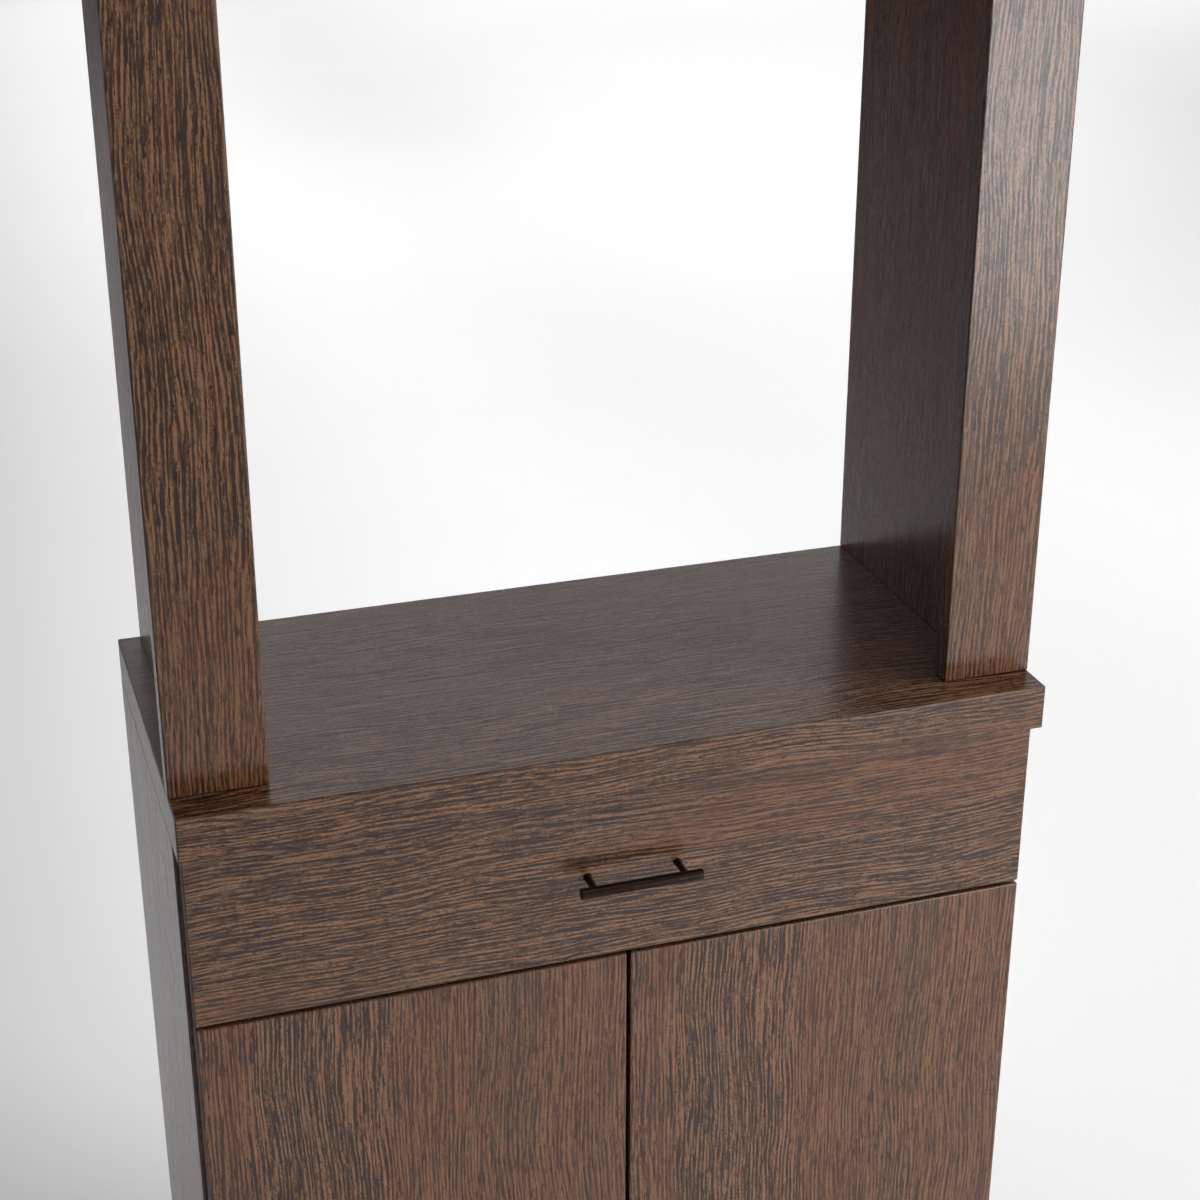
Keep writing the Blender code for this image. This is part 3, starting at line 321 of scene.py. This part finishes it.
def make_edge_mask():
    """How near a point is to a board's edges: 1 on an edge and 0 from about two millimetres in.

    The distance to the nearest edge is the middle one of the distances to the board's three pairs of
    faces, made ragged by noise.
    """
    group, given, put = new_group("board_edge_mask", {"Place": "Vector", "Low": "Vector", "High": "Vector"},
                                  {"Edge": "Float"})
    place = given["Place"]
    above = shader_node(group, "VectorMath", {0: place, 1: given["Low"]}, operation="SUBTRACT")
    below = shader_node(group, "VectorMath", {0: given["High"], 1: place}, operation="SUBTRACT")
    nearest = shader_node(group, "VectorMath", {0: above.outputs[0], 1: below.outputs[0]},
                          operation="MINIMUM")
    x, y, z = shader_node(group, "SeparateXYZ", {0: nearest.outputs[0]}).outputs
    middle = calc(group, "MAXIMUM", calc(group, "MINIMUM", x, y),
                  calc(group, "MINIMUM", calc(group, "MAXIMUM", x, y), z))
    ragged = stretched_noise(group, place, (140, 140, 140), 3.0, 0.6)
    middle = calc(group, "MULTIPLY_ADD", ragged.outputs["Fac"], -EDGE_RAGGED,
                  calc(group, "ADD", middle, EDGE_RAGGED / 2))
    group.links.new(shade_step(group, middle, *EDGE_FADE), put["Edge"])
    return group


edge_mask = make_edge_mask()
STAIN = (0.98, 0.92, 0.83)
# Painted shade: the dark colour laid along every board's edges, for the shaded gaps and edge roundings
EDGE_PAINTED_SHADE = (0.038, 0.021, 0.014, 1)
EDGE_SHARE = 0.55
EDGE_DULLING = 0.12
GRAIN_RELIEF = 0.00018
GRAIN_TURN = {"Z": (0, 0, 0), "X": (0, math.radians(-90), 0), "Y": (math.radians(90), 0, 0)}


def raise_relief(tree, shader, height, strength, deep):
    """Let a height from 0 to 1 show as relief, deep metres from its lowest to its highest."""
    bump = shader_node(tree, "Bump", {"Height": height, "Strength": strength, "Distance": deep})
    tree.links.new(bump.outputs[0], shader.inputs["Normal"])


def veneer(node, grain, shift, tone=STAIN, relief=0.2):
    """The stained oak on one board: its own part of the sheet, and painted shade along its edges."""
    finish, tree, shader = new_finish(node + "_veneer")
    where = shader_node(tree, "TexCoord").outputs["Object"]
    turned = shader_node(tree, "Mapping", {"Vector": where, "Location": shift, "Rotation": GRAIN_TURN[grain]})
    oak = shader_node(tree, "Group", {"Place": turned.outputs[0], "Tone": (*tone, 1)}, node_tree=oak_grain)
    low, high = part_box(node)
    edges = shader_node(tree, "Group", {"Place": where, "Low": low, "High": high}, node_tree=edge_mask)
    # Painted shade: the veneer goes dark within about two millimetres of each edge; the same mask dulls the
    # lacquer there
    edge = calc(tree, "MULTIPLY", edges.outputs["Edge"], EDGE_SHARE)
    tree.links.new(mixed(tree, edge, oak.outputs["Colour"], EDGE_PAINTED_SHADE), shader.inputs["Base Color"])
    tree.links.new(calc(tree, "MULTIPLY_ADD", edge, EDGE_DULLING, oak.outputs["Roughness"]),
                   shader.inputs["Roughness"])
    raise_relief(tree, shader, oak.outputs["Height"], relief, GRAIN_RELIEF)
    return finish


def dress(finish, *nodes):
    """Give CAD nodes a finish."""
    for node in nodes:
        for material_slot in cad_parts[node].material_slots:
            material_slot.material = finish


for node, shift in (("left_side_panel", (0.31, 0.12, 0.4)), ("right_side_panel", (0.83, 0.47, 1.1))):
    dress(veneer(node, "Z", shift), node)

# Bottom, rails, toe kick and shelf
# 19 mm boards between the sides, with their grain across. The bottom sits in dadoes and the rails
# are screwed up into the counter; the shelf lies loose on its pins.
for node, shift in (("cabinet_bottom_panel", (0.1, 0.7, 0.2)), ("front_top_rail", (0.4, 1.2, 0.6)),
                    ("rear_top_rail", (0.9, 1.6, 0.1)), ("drawer_divider_rail", (1.3, 0.2, 0.8)),
                    ("toe_kick_board", (0.2, 2.1, 1.5)), ("adjustable_shelf", (2.3, 0.5, 0.7))):
    dress(veneer(node, "X", shift), node)

# Back panel and its brads
# A thin upright-grained sheet let into the sides' rabbets and pinned along all its edges with
# small steel brads, whose heads stand a tenth of a millimetre proud.


def about_axis(along, radius, turns, centre, axis):
    """Rings of points about an axis through the centre; along and radius have one row a ring.

    With t going round, a point is centre + along * axis + radius * (cos t * second axis + sin t * third
    axis).
    """
    t = np.linspace(0, 2 * math.pi, turns, endpoint=False)
    rings = np.stack(np.broadcast_arrays(along, radius * np.cos(t), radius * np.sin(t)), -1)
    return np.roll(rings, "XYZ".index(axis), axis=-1) + np.array(centre, float)


def spun(profile, centre, axis, turns):
    """Rings of points: a profile of (along, radius) pairs turned about an axis through the centre."""
    along, radius = np.array(profile, float).T[:, :, None]
    return about_axis(along, radius, turns, centre, axis)


def shells(name, stacks, finish, body, sharp=40):
    """One piece of closed skins, each through a stack of rings whose two ends are closed by fans.

    A skin whose volume, the sum of a . (b x c) / 6 over its triangles, comes out negative is turned
    inside out, so that every face points outward. Creases over sharp degrees stay crisp.
    """
    points, faces = [], []
    for rings in stacks:
        rows, columns = rings.shape[:2]
        skin = np.concatenate([rings.reshape(-1, 3), rings[0].mean(0)[None], rings[-1].mean(0)[None]])
        i, j = np.meshgrid(np.arange(rows - 1), np.arange(columns), indexing="ij")
        after = (j + 1) % columns
        quads = np.stack([i * columns + j, i * columns + after, (i + 1) * columns + after,
                          (i + 1) * columns + j], -1).reshape(-1, 4)
        here, there = np.arange(columns), (np.arange(columns) + 1) % columns
        last_ring = (rows - 1) * columns
        near = np.stack([np.full(columns, rows * columns), there, here], -1)
        far = np.stack([np.full(columns, rows * columns + 1), here + last_ring, there + last_ring], -1)
        triangles = np.concatenate([quads[:, [0, 1, 2]], quads[:, [0, 2, 3]], near, far])
        a, b, c = (skin[triangles[:, k]] - skin.mean(0) for k in range(3))
        turn = -1 if np.einsum("ij,ij->", a, np.cross(b, c)) < 0 else 1
        first_point = sum(len(part) for part in points)
        points.append(skin)
        for cells in (quads, near, far):
            faces += (cells[:, ::turn] + first_point).tolist()
    mesh = bpy.data.meshes.new(name)
    mesh.from_pydata(np.concatenate(points), [], faces)
    mesh.polygons.foreach_set("use_smooth", np.full(len(faces), True))
    mesh.set_sharp_from_angle(angle=math.radians(sharp))
    mesh.materials.append(finish)
    made = bpy.data.objects.new(name, mesh)
    bpy.context.scene.collection.objects.link(made)
    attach(made, body)
    return made


def make_metal_wear():
    """What rolled and plated metal shows: soft mottling, drawn lines along Y, and fine scratches."""
    group, given, put = new_group("metal_wear", {"Place": "Vector"},
                                  {"Mottle": "Float", "Lines": "Float", "Scratches": "Float"})
    place = given["Place"]
    group.links.new(stretched_noise(group, place, (110, 60, 110), 4.0, 0.6).outputs["Fac"], put["Mottle"])
    group.links.new(stretched_noise(group, place, (1500, 14, 1500), 2.0).outputs["Fac"], put["Lines"])
    bent = nudged(group, place, stretched_noise(group, place, (30, 30, 30), 1.0), (0.02, 0.02, 0.02))
    fine = stretched_noise(group, bent, (900, 60, 350), 1.0, 0.5, (2.0, 5.0, 1.0))
    group.links.new(shade_step(group, fine.outputs["Fac"], 0.66, 0.74), put["Scratches"])
    return group


metal_wear = make_metal_wear()


def metal(name, dull, bright, roughness, spread, lines=0.4, metallic=1.0):
    """A metal whose colour runs from dull to bright, and whose roughness varies about a middle value."""
    finish, tree, shader = new_finish(name, Metallic=metallic)
    where = shader_node(tree, "TexCoord").outputs["Object"]
    wear = shader_node(tree, "Group", {"Place": where}, node_tree=metal_wear).outputs
    share = shade_step(tree, weighted(tree, (wear["Mottle"], 1 - lines), (wear["Lines"], lines)), 0.36, 0.64)
    tree.links.new(mixed(tree, share, dull, bright), shader.inputs["Base Color"])
    rough = calc(tree, "MULTIPLY_ADD", share, -spread, roughness + spread / 2)
    tree.links.new(calc(tree, "MULTIPLY_ADD", wear["Scratches"], 0.12, rough), shader.inputs["Roughness"])
    raise_relief(tree, shader, calc(tree, "SUBTRACT", share, wear["Scratches"]), 0.12, 0.00006)
    return finish


dress(veneer("cabinet_back_panel", "Z", (1.7, 0.3, 0.9)), "cabinet_back_panel")
zinc = metal("zinc_plated_steel", (0.43, 0.44, 0.46, 1), (0.66, 0.67, 0.69, 1), 0.33, 0.14)
BRAD_RADIUS = 0.0011
BRAD_X = 0.3412
BRAD_INSET = 0.0095
BRAD_CORNER = 0.02
BRADS_A_SIDE = 8
BRAD_PROFILE = [(-0.0002, BRAD_RADIUS), (0, BRAD_RADIUS), (0.0001, 0.8 * BRAD_RADIUS),
                (0.00012, 0.4 * BRAD_RADIUS)]
back_low, back_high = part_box("cabinet_back_panel")
upright = np.linspace(back_low[2] + BRAD_CORNER, back_high[2] - BRAD_CORNER, BRADS_A_SIDE)
level = np.linspace(-BRAD_X, BRAD_X, BRADS_A_SIDE)[1:-1]
brad_places = [(side * BRAD_X, z) for side in (-1, 1) for z in upright]
brad_places += [(x, z) for z in (back_low[2] + BRAD_INSET, back_high[2] - BRAD_INSET) for x in level]
shells("back_panel_brads", [spun(BRAD_PROFILE, (x, back_high[1], z), "Y", 10) for x, z in brad_places],
       zinc, "cabinet")

# Rail screws
# Zinc-plated steel screws with pan heads and cross recesses go up through the two top rails into
# the counter and hold it down.
RAIL_SCREW_HEAD = (0.0042, 0.0019)        # radius and height
RAIL_SCREW_X = (-0.25, 0.0, 0.25)
RAIL_SCREW_Y = (-0.0876, 0.1283)


def screw_head(centre, axis, sense, radius, height, turns=32):
    """Rings of a pan head whose crown has a cross recess.

    Out from the seat the crown is height * sqrt(1 - 0.75 (r / R)^2). The recess is 0.55 of the height
    deep where the smaller of |cos t| * r and |sin t| * r is under R / 14 and r is under R / 2, and its
    walls run out at R / 7 and at 0.62 R.
    """
    share = np.concatenate([[1.0, 1.0, 0.97], np.linspace(0.9, 0.06, 16)])[:, None]
    r = radius * share
    t = np.linspace(0, 2 * math.pi, turns, endpoint=False)
    crown = height * np.sqrt(1 - 0.75 * share ** 2) + 0 * t
    crown[0], crown[1] = 0, height * 0.42
    arm = np.minimum(np.abs(np.cos(t)), np.abs(np.sin(t))) * r
    side_wall = np.clip((radius / 7 - arm) / (radius / 14), 0, 1)
    end_wall = np.clip((radius * 0.62 - r) / (radius * 0.12), 0, 1)
    crown = crown - 0.55 * height * side_wall * end_wall
    return about_axis(sense * crown, r, turns, centre, axis)


under_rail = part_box("front_top_rail")[0][2]
rail_screws = [screw_head((x, y, under_rail), "Z", -1, *RAIL_SCREW_HEAD)
               for x in RAIL_SCREW_X for y in RAIL_SCREW_Y]
shells("top_rail_screws", rail_screws, zinc, "cabinet")

# Shelf pins
# Four pins, turned from steel and nickel-plated, are pushed into the sides' rows of holes. The shelf
# rests on them.


def nodes_named(start):
    """The CAD nodes whose names begin with start."""
    return [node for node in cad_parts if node.startswith(start)]


nickel = metal("nickel_plated_steel", (0.56, 0.53, 0.49, 1), (0.74, 0.71, 0.66, 1), 0.24, 0.12, lines=0.15)
dress(nickel, *nodes_named("shelf_pin"))

# Countertop and dowels
# One thick slab with its grain across the station and its edges banded in the same veneer. Beech
# dowels stand in it and locate the uprights.
dress(veneer("countertop", "X", (1.9, 1.4, 0.3), relief=0.12), "countertop")
beech, tree, shader = new_finish("beech_dowel")
where = shader_node(tree, "TexCoord").outputs["Object"]
vessel = stretched_noise(tree, where, (900, 900, 40), 2.0).outputs["Fac"]
fleck = stretched_noise(tree, where, (2600, 2600, 420), 0.0).outputs["Fac"]
tone = mixed(tree, vessel, (0.50, 0.33, 0.19, 1), (0.72, 0.54, 0.36, 1))
tone = mixed(tree, shade_step(tree, fleck, 0.62, 0.70), tone, (0.36, 0.22, 0.12, 1))
tree.links.new(tone, shader.inputs["Base Color"])
tree.links.new(calc(tree, "MULTIPLY_ADD", vessel, 0.2, 0.5), shader.inputs["Roughness"])
raise_relief(tree, shader, vessel, 0.3, 0.0001)
dress(beech, *nodes_named("upright_dowel"))

# Hutch
# Stiles and header in front, upright panels behind in the stiles' grooves, and a closed top. The two
# stiles are leaves of one flitch, so they show the same figure.
STILE_CUT = 2.815
STILE_STEP = 0.635
# Painted shade: a darker, redder copy of the veneer for the upright panels, for the shade on their inner
# faces
UPRIGHT_SHADE_TONE = (1.06, 0.89, 0.76)
for node, cut in (("left_stile", STILE_CUT), ("right_stile", STILE_CUT - STILE_STEP)):
    dress(veneer(node, "Z", (cut, 0.9, 1.3)), node)
# The upright panels take that painted-shade tone
for node, shift in (("left_upright_panel", (1.1, 0.6, 2.0)), ("right_upright_panel", (2.6, 1.8, 0.2))):
    dress(veneer(node, "Z", shift, tone=UPRIGHT_SHADE_TONE), node)
for node, shift in (("header_rail", (0.7, 0.1, 1.9)), ("top_panel", (1.5, 2.7, 0.4)),
                    ("rear_header_rail", (2.9, 0.4, 1.0))):
    dress(veneer(node, "X", shift), node)

# Drawer slides
# Full extension slides: three members rolled from zinc-plated strip run in one another, screwed to
# the cabinet's side and to the drawer.
dress(zinc, *nodes_named("slide_"))

# Drawer box
# Lacquered birch plywood, dovetailed at its four corners, with a thin bottom in grooves. The plies
# show as pale and brown stripes wherever a board's edge is cut.
BIRCH_PALE = (0.64, 0.48, 0.31, 1)
BIRCH_FLAME = (0.50, 0.35, 0.21, 1)
BIRCH_FIBRE = (0.38, 0.24, 0.14, 1)
END_GRAIN_DARK = (0.22, 0.13, 0.07, 1)
END_GRAIN_PALE = (0.48, 0.31, 0.18, 1)
GLUE_LINE = (0.14, 0.08, 0.05, 1)


def make_birch_ply():
    """Birch plywood: pale face veneer with its grain along Z, and stripes of cut plies.

    Ply counts plies from one face, so that whole numbers are glue lines, where sin(pi * ply) is 0, and
    every other ply, where it is negative, is end grain.
    """
    group, given, put = new_group("birch_plywood", {"Place": "Vector", "Ply": "Float"},
                                  {"Colour": "Color", "Roughness": "Float", "Height": "Float"})
    place = given["Place"]
    drift = nudged(group, place, stretched_noise(group, place, (14, 14, 5), 1.0), (0.02, 0.02, 0))
    flame = stretched_noise(group, drift, (60, 60, 5), 3.0, 0.6).outputs["Fac"]
    fibre = stretched_noise(group, place, (1500, 1500, 45), 1.0).outputs["Fac"]
    pore = stretched_noise(group, place, (2400, 2400, 2400), 0.0).outputs["Fac"]
    face = mixed(group, shade_step(group, flame, 0.38, 0.64), BIRCH_PALE, BIRCH_FLAME)
    fibre_share = calc(group, "MULTIPLY", shade_step(group, fibre, 0.55, 0.75), 0.4)
    face = mixed(group, fibre_share, face, BIRCH_FIBRE)
    wave = calc(group, "SINE", calc(group, "MULTIPLY", given["Ply"], math.pi))
    cut_end = mixed(group, pore, END_GRAIN_DARK, END_GRAIN_PALE)
    toned = mixed(group, shade_step(group, wave, 0.10, -0.10), face, cut_end)
    glue = calc(group, "MULTIPLY", shade_step(group, calc(group, "ABSOLUTE", wave), 0.22, 0.05), 0.6)
    group.links.new(mixed(group, glue, toned, GLUE_LINE), put["Colour"])
    group.links.new(calc(group, "MULTIPLY_ADD", fibre, 0.2, 0.36), put["Roughness"])
    group.links.new(calc(group, "SUBTRACT", fibre, glue), put["Height"])
    return group


birch_ply = make_birch_ply()
SANDED_OFF = 0.3


def plywood(node, grain, through, plies):
    """Birch plywood on one board, its plies stacked along the axis through it, the outer two sanded."""
    finish, tree, shader = new_finish(node + "_plywood")
    low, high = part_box(node)
    first = "XYZ".index(through)
    where = shader_node(tree, "TexCoord").outputs["Object"]
    turned = shader_node(tree, "Mapping", {"Vector": where, "Rotation": GRAIN_TURN[grain]})
    depth = shader_node(tree, "SeparateXYZ", {0: where}).outputs[first]
    per_metre = (plies - 2 * SANDED_OFF) / (high[first] - low[first])
    ply = calc(tree, "MULTIPLY_ADD", depth, per_metre, SANDED_OFF - low[first] * per_metre)
    birch = shader_node(tree, "Group", {"Place": turned.outputs[0], "Ply": ply}, node_tree=birch_ply).outputs
    tree.links.new(birch["Colour"], shader.inputs["Base Color"])
    tree.links.new(birch["Roughness"], shader.inputs["Roughness"])
    raise_relief(tree, shader, birch["Height"], 0.3, 0.0001)
    return finish


for node, grain, through, plies in (("drawer_box_left_side", "Y", "X", 9),
                                    ("drawer_box_right_side", "Y", "X", 9),
                                    ("drawer_box_front", "X", "Y", 9), ("drawer_box_back", "X", "Y", 9),
                                    ("drawer_bottom", "X", "Z", 5)):
    dress(plywood(node, grain, through, plies), node)

# Drawer front and doors
# Slab fronts 18 mm thick: the drawer's grain runs across and the doors' runs up. The two doors are
# leaves of one flitch, so they show the same figure.
DOOR_CUT = 1.03
DOOR_STEP = 0.354
dress(veneer("drawer_front", "X", (0.5, 3.1, 0.9)), "drawer_front")
for node, cut in (("left_door", DOOR_CUT), ("right_door", DOOR_CUT - DOOR_STEP)):
    dress(veneer(node, "Z", (cut, 3.3, 0.1)), node)

# Bar pull
# A turned round bar on two posts with small collars, in oil-rubbed bronze: nearly black, with
# brown showing where hands polish it. Two screws hold it from inside the drawer.
bronze = metal("oil_rubbed_bronze", (0.013, 0.006, 0.004, 1), (0.027, 0.013, 0.008, 1), 0.38, 0.08,
               metallic=0.85)
BAR_RADIUS = 0.0045
BAR_ROUND = 0.0006
POST_SPACING = 0.0762
POST_RADIUS = 0.0029
COLLAR_RADIUS = 0.0035
COLLAR_HEIGHT = 0.0012
COLLAR_ROUND = 0.0003
FILLET_HEIGHT = 0.0008
FLARE = 0.0006
FLARE_START = 0.0046
pull_low, pull_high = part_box("bar_pull")
pull_x, pull_z = (pull_low[0] + pull_high[0]) / 2, (pull_low[2] + pull_high[2]) / 2
bend = np.linspace(math.pi / 2, 0, 6)
end_along = (pull_high[0] - pull_low[0]) / 2 - BAR_ROUND + BAR_ROUND * np.sin(bend)
end_radius = BAR_RADIUS - BAR_ROUND + BAR_ROUND * np.cos(bend)
right_end = np.stack([end_along, end_radius], -1)
bar = np.concatenate([right_end, right_end[::-1] * (-1, 1)])
bar_y = pull_low[1] + BAR_RADIUS
stacks = [spun(bar, (pull_x, bar_y, pull_z), "X", 64)]
# A post's profile goes out from its foot: collar, fillet, shaft, and a flare into the bar. With s from
# 0 to 1, the fillet's radius falls by (1 - s)^2 and the flare's grows by s^2.
foot_y = pull_high[1]
bar_out = bar_y - foot_y
fillet_width = COLLAR_RADIUS - COLLAR_ROUND - POST_RADIUS
climb = np.linspace(0, 1, 5)
post = [(0, COLLAR_RADIUS), (COLLAR_ROUND - COLLAR_HEIGHT, COLLAR_RADIUS),
        (-COLLAR_HEIGHT, COLLAR_RADIUS - COLLAR_ROUND)]
post += [(-COLLAR_HEIGHT - FILLET_HEIGHT * s, POST_RADIUS + fillet_width * (1 - s) ** 2) for s in climb]
post += [(bar_out + FLARE_START - FILLET_HEIGHT * s, POST_RADIUS + FLARE * s ** 2) for s in climb]
post += [(bar_out, POST_RADIUS + FLARE)]
for side in (-1, 1):
    stacks.append(spun(post, (pull_x + side * POST_SPACING / 2, foot_y, pull_z), "Y", 40))
pull = shells("turned_bar_pull", stacks, bronze, "drawer", sharp=50)
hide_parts("bar_pull")
dress(zinc, "pull_screw_left", "pull_screw_right")
dress(bronze, "bar_pull")

# Cup hinges
# Pressed and nickel-plated: a cup in the door, a gooseneck link, and an arm on its plate. Small
# cross-head screws hold cups and plates, and two more on each arm set the door.
CUP_SCREW_HEAD = (0.0034, 0.0009)
CUP_SCREW_X = 0.3224
CUP_SCREW_RISE = 0.0235
PLATE_SCREW_HEAD = (0.0044, 0.0023)
PLATE_SCREW_X = 0.33225
PLATE_SCREW_Y = -0.085725
PLATE_SCREW_RISE = 0.016
ARM_SCREW_HEAD = (0.0028, 0.0008)
ARM_SCREW_Y = (-0.1035, -0.0765)
dress(nickel, *nodes_named("hinge_"))
for side, sense in (("left", -1), ("right", 1)):
    cup_screws, arm_screws = [], []
    for label in ("upper", "lower"):
        cup_low, cup_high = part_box(f"hinge_cup_{side}_{label}")
        arm_low, arm_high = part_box(f"hinge_arm_{side}_{label}")
        z = (cup_low[2] + cup_high[2]) / 2
        arm_x = arm_low[0] if sense > 0 else arm_high[0]
        for up in (-1, 1):
            cup_place = (sense * CUP_SCREW_X, cup_high[1], z + up * CUP_SCREW_RISE)
            cup_screws.append(screw_head(cup_place, "Y", 1, *CUP_SCREW_HEAD))
            plate_place = (sense * PLATE_SCREW_X, PLATE_SCREW_Y, z + up * PLATE_SCREW_RISE)
            arm_screws.append(screw_head(plate_place, "X", -sense, *PLATE_SCREW_HEAD))
        for y in ARM_SCREW_Y:
            arm_screws.append(screw_head((arm_x, y, z), "X", -sense, *ARM_SCREW_HEAD))
    shells(side + "_hinge_cup_screws", cup_screws, nickel, side + "_door")
    shells(side + "_hinge_arm_screws", arm_screws, nickel, "cabinet")

# Push latches
# Housings moulded in black nylon and screwed up under the divider rail. A grey acetal plunger in each
# pushes its door open.
LATCH_SCREW_HEAD = (0.0028, 0.0012)
LATCH_SCREW_X = (-0.026, 0.026)
LATCH_SCREW_Y = (-0.112, -0.074)


def make_moulded():
    """The fine spark-eroded grain of a mould, with slow changes of tone where the plastic flowed."""
    group, given, put = new_group("moulded_plastic", {"Place": "Vector"},
                                  {"Tone": "Float", "Height": "Float"})
    place = given["Place"]
    group.links.new(stretched_noise(group, place, (120, 60, 120), 2.0).outputs["Fac"], put["Tone"])
    group.links.new(stretched_noise(group, place, (2800, 2800, 2800), 2.0).outputs["Fac"], put["Height"])
    return group


moulded = make_moulded()


def plastic(name, dark, pale, roughness, **sockets):
    """A moulded plastic whose colour drifts between dark and pale."""
    finish, tree, shader = new_finish(name, **sockets)
    where = shader_node(tree, "TexCoord").outputs["Object"]
    skin = shader_node(tree, "Group", {"Place": where}, node_tree=moulded).outputs
    tree.links.new(mixed(tree, skin["Tone"], dark, pale), shader.inputs["Base Color"])
    tree.links.new(calc(tree, "MULTIPLY_ADD", skin["Height"], 0.2, roughness), shader.inputs["Roughness"])
    raise_relief(tree, shader, skin["Height"], 0.25, 0.00005)
    return finish


dress(plastic("black_nylon", (0.022, 0.022, 0.023, 1), (0.045, 0.045, 0.047, 1), 0.42),
      "latch_housing_left", "latch_housing_right")
dress(plastic("grey_acetal", (0.50, 0.50, 0.49, 1), (0.64, 0.64, 0.62, 1), 0.36),
      "latch_plunger_left", "latch_plunger_right")
under_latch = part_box("latch_housing_left")[0][2]
latch_screws = [screw_head((x, y, under_latch), "Z", -1, *LATCH_SCREW_HEAD)
                for x in LATCH_SCREW_X for y in LATCH_SCREW_Y]
shells("latch_screws", latch_screws, zinc, "cabinet")

# Bumpers
# Clear soft urethane dots, stuck behind the doors' free corners and the drawer front's four corners,
# keep the fronts a millimetre off the cabinet.
BUMPER_RADIUS = 0.0032
BUMPER_HEIGHT = 0.0009
BUMPER_RIM = 0.2
DOOR_BUMPER_X = 0.012
DOOR_BUMPER_Z = (0.1250, 0.7168)
DRAWER_BUMPER_X = (-0.3450, 0.3450)
DRAWER_BUMPER_Z = (0.7330, 0.8630)
clear = plastic("clear_urethane", (0.72, 0.72, 0.70, 1), (0.82, 0.82, 0.80, 1), 0.12,
                Transmission_Weight=0.7, IOR=1.49)
bend = np.linspace(0, math.pi / 2, 7)[:-1]
dome_height = BUMPER_HEIGHT * (BUMPER_RIM + (1 - BUMPER_RIM) * np.sin(bend))
dome = np.concatenate([[[0, BUMPER_RADIUS]], np.stack([dome_height, BUMPER_RADIUS * np.cos(bend)], -1)])
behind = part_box("left_door")[1][1]
for body, across, up in (("left_door", (-DOOR_BUMPER_X,), DOOR_BUMPER_Z),
                         ("right_door", (DOOR_BUMPER_X,), DOOR_BUMPER_Z),
                         ("drawer", DRAWER_BUMPER_X, DRAWER_BUMPER_Z)):
    dots = [spun(dome, (x, behind, z), "Y", 24) for x in across for z in up]
    shells(body + "_bumpers", dots, clear, body)
